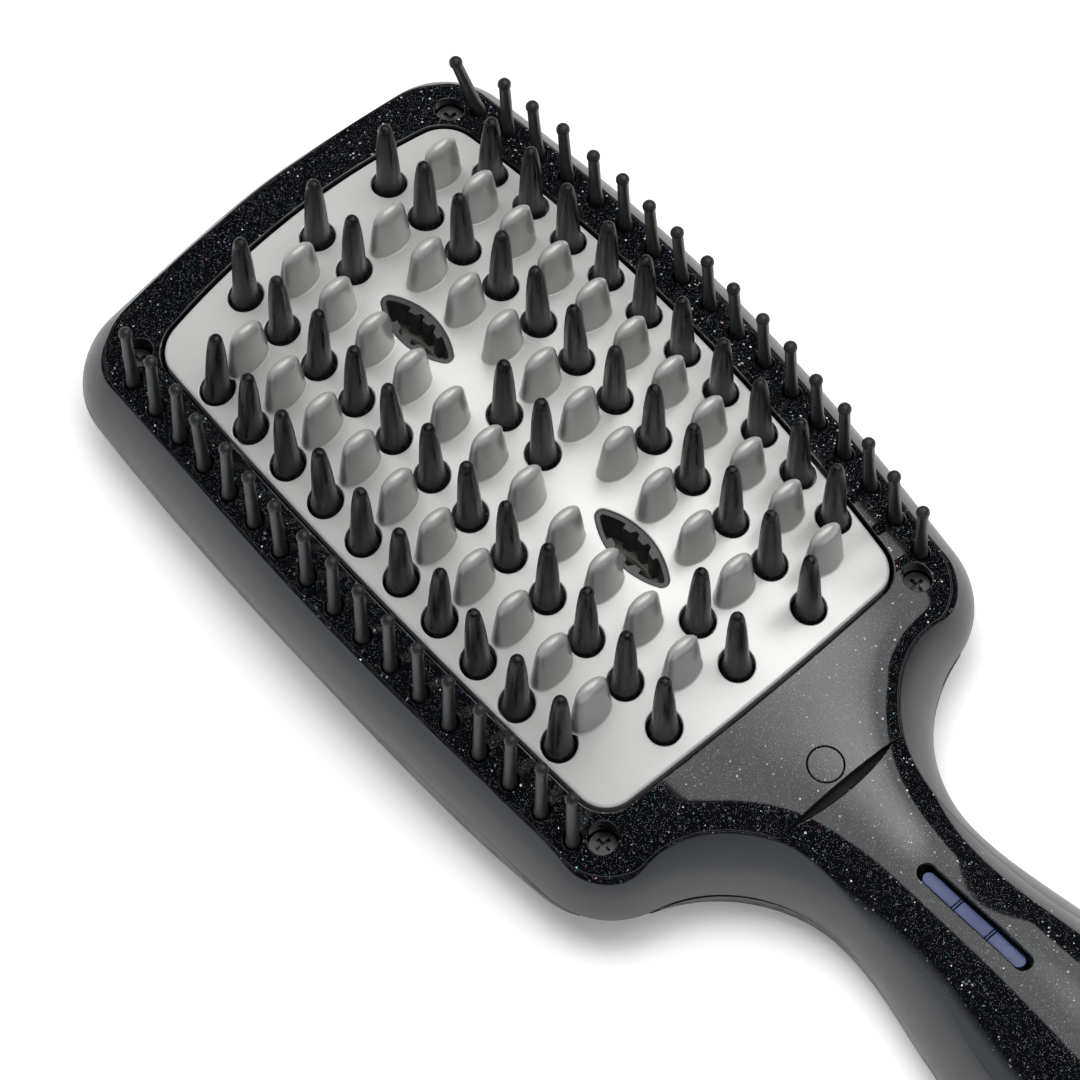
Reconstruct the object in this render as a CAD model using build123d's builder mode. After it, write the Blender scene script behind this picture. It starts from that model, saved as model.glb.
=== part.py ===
from build123d import *
from math import acos, degrees, sqrt
import os

# Steam hair straightener brush.  Millimetres, +Z out of the heated face,
# +Y towards the end of the head, origin under the middle of the whole brush
# on the surface it rests on.

# ---- Overall sizes and clearances ----
overall_length = 294.0    # end of the head to the mouth of the cord gland
face_height = 29.4        # crown of the heated face above the resting plane
head_reach = 63.9         # plate centre to the end of the head
gland_reach = 8.0         # how far the cord gland stands out of the handle
wall = 2.2                # housing walls
seam = 0.12               # gap between fixed parts that meet at the surface
fit = 0.05                # clearance where one fixed part seats on another
slide_gap = 0.25          # gap round a part that slides

head_y = overall_length/2 - head_reach
butt_y = gland_reach - overall_length/2

# ---- Plan outline of the body at its widest line ----
side_half = 43.5
corner_x = 27.2
corner_y = 49.3
corner_radius = 13.9
neck_reach = 85.0
neck_half = 12.9
throat_reach = 105.0
throat_half = 16.1
grip_reach = 152.0
grip_half = 19.0
butt_half = 17.0
butt_round = 15.0

# ---- Side walls: height of the widest line, and how softly they lean in above it ----
side_belly = 12.6
corner_belly = 7.9
grip_belly = 6.9
side_ease = 10.2
far_ease = 25.5
corner_ease = 11.2
throat_ease = 13.75
grip_ease = 19.0
wall_top = 22.4
wall_levels = 7

# ---- Heated face: a shallow barrel ----
face_across = 103.0
face_along = 246.0

# ---- Top line behind the head: drop below the face and crown radius ----
shoulder_reach, shoulder_drop, shoulder_crown = 60.0, 7.0, 84.0
saddle_reach, saddle_drop, saddle_crown = 70.0, 8.3, 38.0
neck_drop, neck_crown = 9.8, 18.0
throat_drop, throat_crown = 6.6, 18.5
thumb_reach, thumb_drop, thumb_crown = 128.0, 4.8, 22.0
grip_drop, grip_crown = 4.5, 24.0
butt_drop, butt_crown = 6.0, 23.0

# ---- Underside: height of the lowest line and cross radius ----
back_far_rise, back_far_round = 4.9, 160.0
back_end_rise, back_end_round = 1.5, 118.0
back_mid_rise, back_mid_round = -0.6, 87.0
back_saddle_rise, back_saddle_round = 1.6, 50.0
back_neck_rise, back_neck_round = 1.4, 24.0
back_throat_rise, back_throat_round = 0.8, 27.0
back_grip_rise, back_grip_round = 0.5, 31.0
heel_reach, back_heel_rise, back_heel_round = 196.0, -0.5, 30.0
back_butt_rise, back_butt_round = 2.6, 27.0

# ---- Parting line between the housings ----
parting_radius = 456.0
parting_bend = 56.0
parting_level = 80.0

# ---- Heated plate ----
plate_half = 31.7
plate_reach = 52.3
plate_corner_x = 24.2
plate_corner_y = 45.5
plate_corner = 5.5
plate_thick = 2.0
plate_gap = 1.0
ledge_inside = 0.5
ledge_outside = 2.0
ledge_thick = 1.6

# ---- Bristle and fin field ----
pitch = 8.5
inner_column = 14.2
outer_column = 27.7
field_rows = 10
corner_tuck = 0.7
pin_hole = 2.75
pin_base = 2.35
pin_root = 1.9
pin_waist, pin_flare = 1.85, 3.0
pin_middle, pin_belly = 1.6, 9.5
pin_neck = 1.05
pin_height = 17.3
fin_column_inner = 7.1
fin_column_outer = 20.9
fin_root = 1.0
fin_long, fin_short = 3.6, 2.1
fin_shoulder, fin_shoulder_long, fin_shoulder_short = 8.2, 2.9, 1.3
fin_cap, fin_cap_long, fin_cap_short = 0.7, 2.35, 0.95
fin_ridge_long, fin_ridge_short = 1.6, 0.4
fin_height = 10.6

# ---- Edge bristles ----
edge_count = 17
edge_pitch = 6.18
edge_end = 34.4
edge_mid = 37.1
edge_base = 1.15
edge_root = 0.7
edge_stem = 0.86
edge_ball = 1.05
edge_height = 16.4
edge_hole = 1.45
edge_bar = 1.0
edge_bar_thick = 1.8
bar_gap = 0.3

# ---- Steam outlets ----
outlet_y = 23.9
outlet_length = 15.2
outlet_width = 6.2
outlet_wall = 0.7
outlet_tip = 1.2
outlet_tooth = 0.8
outlet_tooth_wide = 1.5
outlet_tooth_pitch = 2.6
outlet_sink = 0.3

# ---- Front panel of the head and its screws ----
panel_thick = 2.2
rim_lip = 0.4
panel_end = 69.3
groove_reach = 70.9
groove_half = 10.0
shelf_reach = 74.0
shelf_thick = 1.8
screw_x, screw_y = 31.0, 52.3
screw_bore = 2.3
screw_sink = 4.4
screw_head = 2.1
screw_head_thick = 1.4
screw_shank = 1.1
screw_length = 7.0
screw_web = 1.5
boss_radius = 3.3
plug_reach = 66.0
plug_radius = 2.7
plug_thick = 1.2
bridge_start, bridge_end = 62.2, 69.4
bridge_thick = 2.0

# ---- Heater stack under the plate ----
heater_x = 7.1
heater_half = 3.6
heater_length = 76.0
pad_z = 22.6
heater_thick = 3.4
mica_thick = 0.8
clamp_thick = 1.2
clamp_half = 24.5
clamp_length = 78.0
clamp_ear_half = 32.3
clamp_ear_y, clamp_ear_wide = 29.0, 6.0
post_x, post_y, post_radius = 20.9, 34.0, 2.5
mat_gap = 0.15
mat_thick = 1.4
mat_margin = 0.9
mat_clear = 0.4
mat_strap = 4.0
chamber_half = 15.0
chamber_length = 66.0
chamber_height = 9.4
sensor_radius, sensor_length, sensor_y = 1.4, 7.0, 11.0
fuse_radius, fuse_length, fuse_x = 1.9, 11.0, 16.5

# ---- Steam hose ----
hose_x, hose_z = 7.9, 9.75
hose_radius, hose_bore = 1.4, 0.8
nipple_radius, nipple_length = 0.7, 4.0

# ---- Controls on the handle ----
window_reach, window_length, window_width = 97.5, 22.6, 2.75
lens_length, lens_width, lens_sink = 20.6, 2.05, 1.2
lens_count, lens_groove = 3, 0.3
lens_bar_half, lens_bar_thick = 1.7, 1.2
led_long, led_wide, led_high = 3.0, 1.6, 1.2
led_gap = 0.3
heat_reach, heat_radius = 134.5, 4.5
power_reach, power_radius = 147.0, 5.5
steam_reach, steam_radius, steam_length = 172.0, 5.5, 20.0
button_proud = 0.9
button_round = 0.6
steam_proud = 3.6
guide_foot = 19.3
guide_wall = 1.2
flange_over = 1.0
flange_thick = 1.1
board_z = 13.0
board_thick = 1.6
board_neck_half, board_half = 6.0, 10.0
board_start, board_shoulder, board_end = 88.0, 113.0, 151.5
switch_size, switch_height, switch_bore, switch_well = 6.0, 3.5, 1.3, 1.4
stem_radius, stem_engage = 1.2, 0.2
board_posts = (92.0, 119.0)
board_post_x, board_post_radius = 4.0, 2.1
board_screw_head, board_screw_thick, board_screw_length = 1.7, 1.1, 5.0
board_screw_shank = 0.9

# ---- Pump ----
pump_radius = 6.0
pump_top = 14.7
pump_base = 3.0
pump_floor = 8.2
pump_bore = 4.0
piston_fit = 0.05
piston_foot = 11.6
pump_arm = 2.2

# ---- Water tank ----
tank_start, tank_end = 112.0, 162.0
tank_half = 12.0
tank_top = 8.0
tank_lift = 0.4
tank_corner = 4.0
tank_wall = 1.3
bay_wall = 1.5
spigot_reach, spigot_radius, spigot_bore, spigot_top = 156.5, 2.0, 0.9, 11.8
seal_radius, seal_high = 3.2, 1.6
coupling_radius, coupling_foot, coupling_top = 4.4, 8.4, 13.4
cap_reach, cap_head, cap_plug, cap_thick, cap_depth = 124.0, 4.6, 3.2, 1.4, 2.4
cap_recess_gap = 0.25

# ---- Cord gland and the heel of the handle ----
gland_z = 13.0
gland_neck = 5.2
gland_fit = 0.08
gland_flange, gland_flange_thick = 7.2, 2.0
gland_outer = 6.6
gland_mouth = 5.0
gland_bore = 3.25
collar_radius = 8.2
collar_thick = 8.0
tongue_half = 5.0
heel_screw_x, heel_screw_reach, heel_joint, heel_sink = 10.5, 201.0, 9.0, 3.4
terminal_reach, terminal_wide, terminal_long, terminal_high, terminal_z = 190.0, 12.0, 10.0, 7.0, 2.5
lead_x, lead_z, lead_radius = 8.6, 14.2, 0.9
heater_lead_x, heater_lead_z = -6.6, 9.4
heater_lead_pitch = 2.2
mains_lead_start = 8.0
lead_overlap = 0.3


# ---- Shapes that several parts share ----
def along(reach):
    """Y of a point that lies the given reach behind the plate centre."""
    return head_y - reach


def sag(radius, half):
    return radius - sqrt(radius**2 - half**2)


def face_z(x, y):
    """Height of the heated face, x and y measured from the plate centre."""
    return face_height - sag(face_across, x) - sag(face_along, y)


def lean(z, belly, ease):
    """How far a side wall leans in at height z."""
    return max(0.0, z - belly)**2/(2*ease)


def rim_inset(half, belly, ease, height_at):
    """How far in from the widest line a side wall meets the top surface."""
    inset = 0.0
    for _ in range(12):
        inset = lean(height_at(half - inset), belly, ease)
    return inset


def bow_radius(half, near, across, r):
    """Radius of the arc through half that rolls into a corner circle."""
    return (r**2 - (half - near)**2 - across**2)/(2*(near + r - half))


def beyond(centre, through, radius):
    return Vector(*centre) + (Vector(*through) - Vector(*centre)).normalized()*radius


def arc_between(centre, start, end):
    middle = Vector(*centre)
    out = ((start + end)*0.5 - middle).normalized()
    return ThreePointArc(start, middle + out*(start - middle).length, end)


def run_through(stations, reach):
    """Value at a reach on the smooth line through (reach, value) stations."""
    last = len(stations) - 1
    i = 0
    while i < last - 1 and reach > stations[i + 1][0]:
        i += 1

    def slope(k):
        before = stations[max(k - 1, 0)]
        after = stations[min(k + 1, last)]
        return (after[1] - before[1])/(after[0] - before[0])

    (start, low), (end, high) = stations[i], stations[i + 1]
    span = end - start
    t = (reach - start)/span
    return (low*(1 + 2*t)*(1 - t)**2 + slope(i)*span*t*(1 - t)**2
            + high*t*t*(3 - 2*t) + slope(i + 1)*span*t*t*(t - 1))


def body_outline(side_in, far_in, corner_in, throat_in, grip_in):
    """Right half of the plan outline, each stretch drawn in by its own amount."""
    side = side_half - side_in
    far = head_reach - far_in
    corner = corner_radius - corner_in
    side_r = bow_radius(side, corner_x, corner_y, corner)
    far_r = bow_radius(far, corner_y, corner_x, corner)
    run = neck_reach - corner_y
    spare = corner_radius - neck_half
    hollow_x = (corner_x**2 + run**2 - spare**2)/(2*(corner_x + spare))
    hollow_r = sqrt((hollow_x - corner_x)**2 + run**2) - corner
    far_centre = (corner_x, head_y + corner_y)
    near_centre = (corner_x, head_y - corner_y)
    side_centre = (side - side_r, head_y)
    end_centre = (0, head_y + far - far_r)
    hollow_centre = (hollow_x, along(neck_reach))
    tip = Vector(0, head_y + far)
    far_start = beyond(end_centre, far_centre, far_r)
    side_start = beyond(side_centre, far_centre, side_r)
    side_end = beyond(side_centre, near_centre, side_r)
    hollow_start = beyond(near_centre, hollow_centre, corner)
    neck = Vector(hollow_x - hollow_r, along(neck_reach))
    throat = Vector(throat_half - throat_in, along(throat_reach))
    grip = Vector(grip_half - grip_in, along(grip_reach))
    heel = Vector(butt_half - grip_in, butt_y + butt_round)
    with BuildLine() as half:
        arc_between(end_centre, tip, far_start)
        arc_between(far_centre, far_start, side_start)
        arc_between(side_centre, side_start, side_end)
        arc_between(near_centre, side_end, hollow_start)
        arc_between(hollow_centre, hollow_start, neck)
        Spline(neck, throat, grip, tangents=[(0, -1), (0, -1)])
        Spline(grip, heel, tangents=[(0, -1), (0, -1)])
        EllipticalCenterArc((0, heel.Y), heel.X, butt_round - grip_in,
                            start_angle=270, arc_size=90)
    return half.line


def level_outline(z, inset):
    side_in = inset + lean(z, side_belly, side_ease)
    far_in = inset + lean(z, corner_belly, far_ease)
    corner_in = inset + lean(z, corner_belly, corner_ease)
    throat_in = inset + lean(z, grip_belly, throat_ease)
    grip_in = inset + lean(z, grip_belly, grip_ease)
    return body_outline(side_in, far_in, corner_in, throat_in, grip_in)


def wall_form(inset):
    """Upright form with the curved side walls, tall enough to be cut to shape."""
    with BuildPart() as form:
        for step in range(wall_levels):
            z = grip_belly + (wall_top - grip_belly)*step/(wall_levels - 1)
            with BuildSketch(Plane.XY.offset(z)):
                with BuildLine():
                    add(level_outline(z, inset))
                    mirror(about=Plane.YZ)
                make_face()
        loft()
        extrude(form.faces().sort_by(Axis.Z)[-1], amount=face_height - wall_top + 2)
        extrude(form.faces().sort_by(Axis.Z)[0], amount=grip_belly + 4)
    return form.part


# ---- Crowned top and rounded underside ----
sheet_half = side_half + 2.5
sheet_margin = 2.5
sheet_columns, sheet_rows = 22, 72
butt_reach = head_y - butt_y
crown_reach = butt_reach + sheet_margin
far_reach = -head_reach - sheet_margin
head_stations = [far_reach + (plate_reach - far_reach)*i/10 for i in range(11)]
top_drop = [(reach, sag(face_along, abs(reach))) for reach in head_stations] + [
    (shoulder_reach, shoulder_drop), (saddle_reach, saddle_drop), (neck_reach, neck_drop),
    (throat_reach, throat_drop), (thumb_reach, thumb_drop), (grip_reach, grip_drop),
    (crown_reach, butt_drop)]
top_bend = [(reach, 1/face_across) for reach in head_stations] + [
    (shoulder_reach, 1/shoulder_crown), (saddle_reach, 1/saddle_crown),
    (neck_reach, 1/neck_crown), (throat_reach, 1/throat_crown), (thumb_reach, 1/thumb_crown),
    (grip_reach, 1/grip_crown), (crown_reach, 1/butt_crown)]
back_rise = [
    (far_reach, back_far_rise), (-plate_reach, back_end_rise), (0.0, back_mid_rise),
    (plate_reach, back_end_rise), (saddle_reach, back_saddle_rise),
    (neck_reach, back_neck_rise), (throat_reach, back_throat_rise),
    (grip_reach, back_grip_rise), (heel_reach, back_heel_rise), (crown_reach, back_butt_rise)]
back_bend = [
    (far_reach, 1/back_far_round), (-plate_reach, 1/back_end_round),
    (0.0, 1/back_mid_round), (plate_reach, 1/back_end_round),
    (saddle_reach, 1/back_saddle_round), (neck_reach, 1/back_neck_round),
    (throat_reach, 1/back_throat_round), (grip_reach, 1/back_grip_round),
    (heel_reach, 1/back_heel_round), (crown_reach, 1/back_butt_round)]


def fall(bend, x):
    """Drop of a round section at x, carried on straight beyond its shoulder."""
    radius = 1/bend
    shoulder = 0.8*radius
    if abs(x) <= shoulder:
        return sag(radius, x)
    steep = shoulder/sqrt(radius**2 - shoulder**2)
    return sag(radius, shoulder) + (abs(x) - shoulder)*steep


def top_z(x, reach):
    return face_height - run_through(top_drop, reach) - fall(run_through(top_bend, reach), x)


def back_z(x, reach):
    return run_through(back_rise, reach) + fall(run_through(back_bend, reach), x)


def formed_block(height_at, depth):
    """Block with one formed surface, carried down or up by its depth."""
    rows = []
    for i in range(sheet_rows + 1):
        reach = far_reach + (crown_reach - far_reach)*i/sheet_rows
        row = []
        for j in range(sheet_columns + 1):
            x = sheet_half*(2*j/sheet_columns - 1)
            row.append((x, along(reach), height_at(x, reach)))
        rows.append(row)
    sheet = Face.make_surface_from_array_of_points(rows, tol=0.01, min_deg=3, max_deg=5)
    with BuildPart() as block:
        extrude(sheet, amount=abs(depth), dir=(0, 0, depth/abs(depth)))
    return block.part


def intersected(*solids):
    with BuildPart() as common:
        add(solids[0])
        for other in solids[1:]:
            add(other, mode=Mode.INTERSECT)
    return common.part


def parting_block(gap):
    """Everything below the parting line, with the tongue that closes the gland hole."""
    end = head_reach + sheet_margin
    near = parting_bend
    steep = near/sqrt(parting_radius**2 - near**2)
    with BuildPart() as block:
        with BuildSketch(Plane.YZ):
            with BuildLine():
                far_point = (head_y + end, side_belly + gap - sag(parting_radius, end))
                near_point = (along(near), side_belly + gap - sag(parting_radius, near))
                level_point = (along(parting_level), grip_belly + gap)
                ThreePointArc(far_point, (head_y, side_belly + gap), near_point)
                Spline(near_point, level_point, tangents=[(-1, -steep), (-1, 0)])
                Polyline(level_point, (butt_y - 5, grip_belly + gap), (butt_y - 5, -10),
                         (head_y + end, -10), far_point)
            make_face()
        extrude(amount=sheet_half, both=True)
        with BuildSketch(Plane.XY):
            with Locations((0, butt_y + collar_thick/2)):
                Rectangle(2*(tongue_half + gap), collar_thick + 2)
        extrude(amount=gland_z)
    return block.part


crown = formed_block(top_z, -150.0)
back = formed_block(back_z, 150.0)
outer_walls = wall_form(0.0)
inner_walls = wall_form(wall)

with BuildPart() as outer_body:
    add(outer_walls)
    add(crown, mode=Mode.INTERSECT)
    add(back, mode=Mode.INTERSECT)
    split(bisect_by=Plane.XY, keep=Keep.TOP)

with BuildPart() as cavity:
    add(inner_walls)
    add(crown.moved(Location((0, 0, -wall))), mode=Mode.INTERSECT)
    add(back.moved(Location((0, 0, wall))), mode=Mode.INTERSECT)

with BuildPart() as shell:
    add(outer_body.part)
    add(cavity.part, mode=Mode.SUBTRACT)


# ---- Outlines of the head and its field ----
def plate_prism(grow, low, high):
    """Upright prism on the plate outline, grown or shrunk."""
    half = plate_half + grow
    reach = plate_reach + grow
    corner = plate_corner + grow
    side_r = bow_radius(half, plate_corner_x, plate_corner_y, corner)
    end_r = bow_radius(reach, plate_corner_y, plate_corner_x, corner)
    side_centre = (half - side_r, head_y)
    end_centre = (0, head_y + reach - end_r)
    corner_centre = (plate_corner_x, head_y + plate_corner_y)
    end_start = beyond(end_centre, corner_centre, end_r)
    side_start = beyond(side_centre, corner_centre, side_r)
    with BuildPart() as prism:
        with BuildSketch(Plane.XY.offset(low)):
            with BuildLine():
                arc_between(end_centre, Vector(0, head_y + reach), end_start)
                arc_between(corner_centre, end_start, side_start)
                arc_between(side_centre, side_start, Vector(half, head_y))
                mirror(about=Plane.YZ)
                mirror(about=Plane.XZ.offset(-head_y))
            make_face()
        extrude(amount=high - low)
    return prism.part


face_half_x = side_half - 2
face_half_y = plate_reach + 6
face_steps = 16
face_rows = []
for i in range(face_steps + 1):
    y = face_half_y*(2*i/face_steps - 1)
    columns = [face_half_x*(2*j/face_steps - 1) for j in range(face_steps + 1)]
    face_rows.append([(x, head_y + y, face_z(x, y)) for x in columns])
face_surface = Face.make_surface_from_array_of_points(face_rows, tol=0.005, min_deg=3, max_deg=5)


def face_sheet(depth, thick):
    """Curved sheet, its top the given depth below the heated face."""
    with BuildPart() as sheet:
        extrude(face_surface.moved(Location((0, 0, -depth))), amount=thick, dir=(0, 0, -1))
    return sheet.part


def eye_outline(grow):
    """Eye-shaped outline of a steam outlet."""
    half_wide = outlet_width/2 + grow
    half_long = outlet_length/2 + grow
    tip = outlet_tip + grow
    flank = bow_radius(half_wide, 0, half_long - tip, tip)
    flank_centre = (half_wide - flank, 0)
    tip_centre = (0, half_long - tip)
    touch = beyond(flank_centre, tip_centre, flank)
    with BuildSketch() as eye:
        with BuildLine():
            arc_between(flank_centre, Vector(half_wide, 0), touch)
            arc_between(tip_centre, touch, Vector(0, half_long))
            mirror(about=Plane.YZ)
            mirror(about=Plane.XZ)
        make_face()
    return eye.sketch


def eye_prism(grow, low, high):
    outline = eye_outline(grow)
    with BuildPart() as prism:
        with BuildSketch(Plane.XY.offset(low)):
            with Locations((0, head_y - outlet_y), (0, head_y + outlet_y)):
                add(outline)
        extrude(amount=high - low)
    return prism.part


def posts(places, radius, low, high):
    """Upright round posts or holes at (x, y) places."""
    with BuildPart() as group:
        with BuildSketch(Plane.XY.offset(low)):
            with Locations(*places):
                Circle(radius)
        extrude(amount=high - low)
    return group.part


def at_plate(points):
    return [(x, head_y + y) for x, y in points]


def row_y(row):
    return ((field_rows - 1)/2 - row)*pitch


# Round bristles stand in five columns, fins in the four lanes between them.
outer_rows = [row_y(row) for row in range(field_rows)]
middle_rows = [row_y(row) for row in range(-1, field_rows + 1)]
centre_rows = [row_y(row) for row in (-1, 0, 4, 5, 9, 10)]
lane_rows = [row_y(row + 0.5) for row in range(-1, field_rows)]
pin_places = [(0, y) for y in centre_rows]
for side in (-1, 1):
    pin_places += [(side*inner_column, y) for y in middle_rows]
    for y in outer_rows:
        tuck = corner_tuck if abs(y) == max(outer_rows) else 0
        pin_places.append((side*(outer_column - tuck), y))
fin_places = [(-fin_column_outer, y) for y in outer_rows]
fin_places += [(-fin_column_inner, y) for y in lane_rows]
fin_places += [(fin_column_inner, y) for y in outer_rows]
fin_places += [(fin_column_outer, y) for y in lane_rows]
corner_places = [(x, y) for x in (-screw_x, screw_x) for y in (-screw_y, screw_y)]
post_places = [(x, y) for x in (-post_x, post_x) for y in (-post_y, post_y)]
corner_top = face_z(screw_x, screw_y)
corner_seat = corner_top - screw_sink
corner_joint = corner_seat - screw_web
plug_top = top_z(0, plug_reach)
plug_seat = plug_top - plug_thick
neck_seat = plug_seat - screw_head_thick - fit
neck_joint = neck_seat - screw_web
plug_place = (0, along(plug_reach))


# ---- Heated plate: curved sheet, fins, heater pads and clamp posts ----
with BuildPart() as fin:
    levels = ((-fin_root, fin_long, fin_short), (0, fin_long, fin_short),
              (fin_shoulder, fin_shoulder_long, fin_shoulder_short),
              (fin_height - fin_cap, fin_cap_long, fin_cap_short),
              (fin_height, fin_ridge_long, fin_ridge_short))
    for level, half_x, half_y in levels:
        with BuildSketch(Plane.XY.offset(level)):
            Ellipse(half_x, half_y)
    loft(ruled=True)

heater_low = pad_z - heater_thick
clamp_top = heater_low - mica_thick - 2*fit
lanes = [(-heater_x, head_y), (heater_x, head_y)]
plate_low = face_z(plate_half, plate_reach) - 3


def lane_prisms(clear, low, high):
    """Prisms over the heater lanes, parted in the middle for the strap of the mat."""
    start = mat_strap/2 + mat_clear - clear
    end = heater_length/2 + clear
    middle = (start + end)/2
    places = [(x, head_y + y) for x in (-heater_x, heater_x) for y in (-middle, middle)]
    with BuildPart() as prisms:
        with BuildSketch(Plane.XY.offset(low)):
            with Locations(*places):
                Rectangle(2*(heater_half + clear), end - start)
        extrude(amount=high - low)
    return prisms.part


pad_part = intersected(lane_prisms(0, pad_z, face_height),
                       face_sheet(plate_thick/2, face_height - pad_z))
post_part = intersected(posts(at_plate(post_places), post_radius, clamp_top + fit, face_height),
                        face_sheet(plate_thick/2, face_height - clamp_top))

with BuildPart() as heated_plate:
    add(face_sheet(0, plate_thick))
    add(plate_prism(0, plate_low, face_height + 1), mode=Mode.INTERSECT)
    add(posts(at_plate(pin_places), pin_hole, plate_low, face_height + 1), mode=Mode.SUBTRACT)
    add(eye_prism(fit, plate_low, face_height + 1), mode=Mode.SUBTRACT)
    add(pad_part)
    add(post_part)
    add(posts(at_plate(post_places), screw_shank + fit, clamp_top, clamp_top + 5),
        mode=Mode.SUBTRACT)
    with Locations(*[(x, head_y + y, face_z(x, y)) for x, y in fin_places]):
        add(fin.part)

# ---- Bristle mat: soft sheet under the plate that carries the round bristles ----
mat_top = plate_thick + mat_gap
root_low = -mat_top - mat_thick/2
with BuildPart() as pin:
    with BuildSketch(Plane.XZ):
        with BuildLine():
            tip = CenterArc((0, pin_height - pin_neck), pin_neck, 0, 90)
            Polyline(tip @ 1, (0, root_low), (pin_root, root_low), (pin_root, -plate_thick),
                     (pin_base, -plate_thick), (pin_base, 0), (pin_waist, pin_flare),
                     (pin_middle, pin_belly), tip @ 0)
        make_face()
    revolve(axis=Axis.Z)

with BuildPart() as bristle_mat:
    add(face_sheet(mat_top, mat_thick))
    add(plate_prism(-mat_margin, plate_low - 4, face_height), mode=Mode.INTERSECT)
    add(lane_prisms(mat_clear, plate_low - 4, face_height), mode=Mode.SUBTRACT)
    add(posts(at_plate(post_places), post_radius + mat_clear, plate_low - 4, face_height),
        mode=Mode.SUBTRACT)
    add(eye_prism(mat_clear, plate_low - 4, face_height), mode=Mode.SUBTRACT)
    with Locations(*[(x, head_y + y, face_z(x, y)) for x, y in pin_places]):
        add(pin.part)

# ---- Steam outlets: toothed eye-shaped ducts from the steam chamber ----
chamber_top = clamp_top - clamp_thick - fit
with BuildPart() as tooth_bars:
    with BuildSketch(Plane.XY.offset(chamber_top + fit)):
        for side in (-1, 1):
            with Locations((side*(outlet_width/2 - outlet_wall), head_y - outlet_y),
                           (side*(outlet_width/2 - outlet_wall), head_y + outlet_y)):
                with GridLocations(0, outlet_tooth_pitch, 1, 3):
                    Rectangle(2*outlet_tooth, outlet_tooth_wide)
    extrude(amount=face_height - chamber_top)
outlet_cap = face_sheet(outlet_sink, face_height - chamber_top)

with BuildPart() as outlet_ducts:
    add(eye_prism(-fit, chamber_top + fit, face_height))
    add(eye_prism(-outlet_wall, chamber_top, face_height + 1), mode=Mode.SUBTRACT)
    add(intersected(tooth_bars.part, eye_prism(-fit, chamber_top + fit, face_height)))
    add(outlet_cap, mode=Mode.INTERSECT)

# ---- Heaters, mica, clamp and what is fixed to it ----
with BuildPart() as heaters:
    with BuildSketch(Plane.XY.offset(heater_low)):
        with Locations(*lanes):
            Rectangle(2*heater_half, heater_length)
    extrude(amount=heater_thick - fit)

with BuildPart() as mica_sheets:
    with BuildSketch(Plane.XY.offset(heater_low - fit - mica_thick)):
        with Locations(*lanes):
            Rectangle(2*heater_half, heater_length)
    extrude(amount=mica_thick)

with BuildPart() as heater_clamp:
    with BuildSketch(Plane.XY.offset(clamp_top - clamp_thick)):
        with Locations((0, head_y)):
            RectangleRounded(2*clamp_half, clamp_length, 3)
        with Locations((0, head_y - clamp_ear_y), (0, head_y + clamp_ear_y)):
            Rectangle(2*clamp_ear_half, clamp_ear_wide)
        with Locations(*at_plate(post_places)):
            Circle(screw_shank + fit, mode=Mode.SUBTRACT)
        with Locations((0, head_y - outlet_y), (0, head_y + outlet_y)):
            add(eye_outline(mat_clear), mode=Mode.SUBTRACT)
    extrude(amount=clamp_thick)

clamp_low = clamp_top - clamp_thick


def screws(places, head_low, head_radius, head_thick, shank, length, up):
    """Round-headed screws; up is 1 for a head on top, -1 for a head below."""
    with BuildPart() as group:
        with BuildSketch(Plane.XY.offset(head_low)):
            with Locations(*places):
                Circle(head_radius)
        extrude(amount=head_thick)
        with BuildSketch(Plane.XY.offset(head_low if up > 0 else head_low + head_thick)):
            with Locations(*places):
                Circle(shank)
        extrude(amount=-up*length)
        with BuildSketch(Plane.XY.offset(head_low + head_thick if up > 0 else head_low)):
            with Locations(*places):
                Rectangle(1.2*head_radius, 0.3*head_radius)
                Rectangle(0.3*head_radius, 1.2*head_radius)
        extrude(amount=-up*0.6*head_thick, mode=Mode.SUBTRACT)
    return group.part


with BuildPart() as clamp_screws:
    add(screws(at_plate(post_places), clamp_low - fit - screw_head_thick, screw_head,
               screw_head_thick, screw_shank, clamp_thick + 4.0, -1))

with BuildPart() as thermistor:
    with BuildSketch(Plane.XZ.offset(-(head_y + sensor_y))):
        with Locations((0, clamp_top + fit + sensor_radius)):
            Circle(sensor_radius)
    extrude(amount=sensor_length/2, both=True)

with BuildPart() as thermal_fuse:
    with BuildSketch(Plane.XZ.offset(-head_y)):
        with Locations((-fuse_x, clamp_top + fit + fuse_radius)):
            Circle(fuse_radius)
    extrude(amount=fuse_length/2, both=True)
    fillet(thermal_fuse.edges().filter_by(GeomType.CIRCLE), 0.4)

chamber_end = head_y - chamber_length/2
with BuildPart() as steam_chamber:
    with BuildSketch(Plane.XY.offset(chamber_top)):
        with Locations((0, head_y)):
            RectangleRounded(2*chamber_half, chamber_length, 4)
    extrude(amount=-chamber_height)
    with BuildSketch(Plane.XY.offset(chamber_top - 1.5)):
        with Locations((0, head_y)):
            RectangleRounded(2*chamber_half - 3, chamber_length - 3, 2.5)
    extrude(amount=-(chamber_height - 3), mode=Mode.SUBTRACT)
    add(eye_prism(-outlet_wall, chamber_top - 2, chamber_top + 1), mode=Mode.SUBTRACT)
    with BuildSketch(Plane.XZ.offset(-(chamber_end + 1))):
        with Locations((hose_x, hose_z)):
            Circle(nipple_radius)
    extrude(amount=nipple_length + 1)

# ---- Edge bristles: a row along each side of the plate on a bar under the panel ----
edge_bow = bow_radius(edge_mid, edge_end, edge_pitch*(edge_count - 1)/2, 0.0)
edge_places = []
for i in range(edge_count):
    edge_y = (i - (edge_count - 1)/2)*edge_pitch
    edge_places.append((edge_mid - sag(abs(edge_bow), abs(edge_y)), edge_y))
bar_top = panel_thick + bar_gap
bar_low = -bar_top - edge_bar_thick/2

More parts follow.
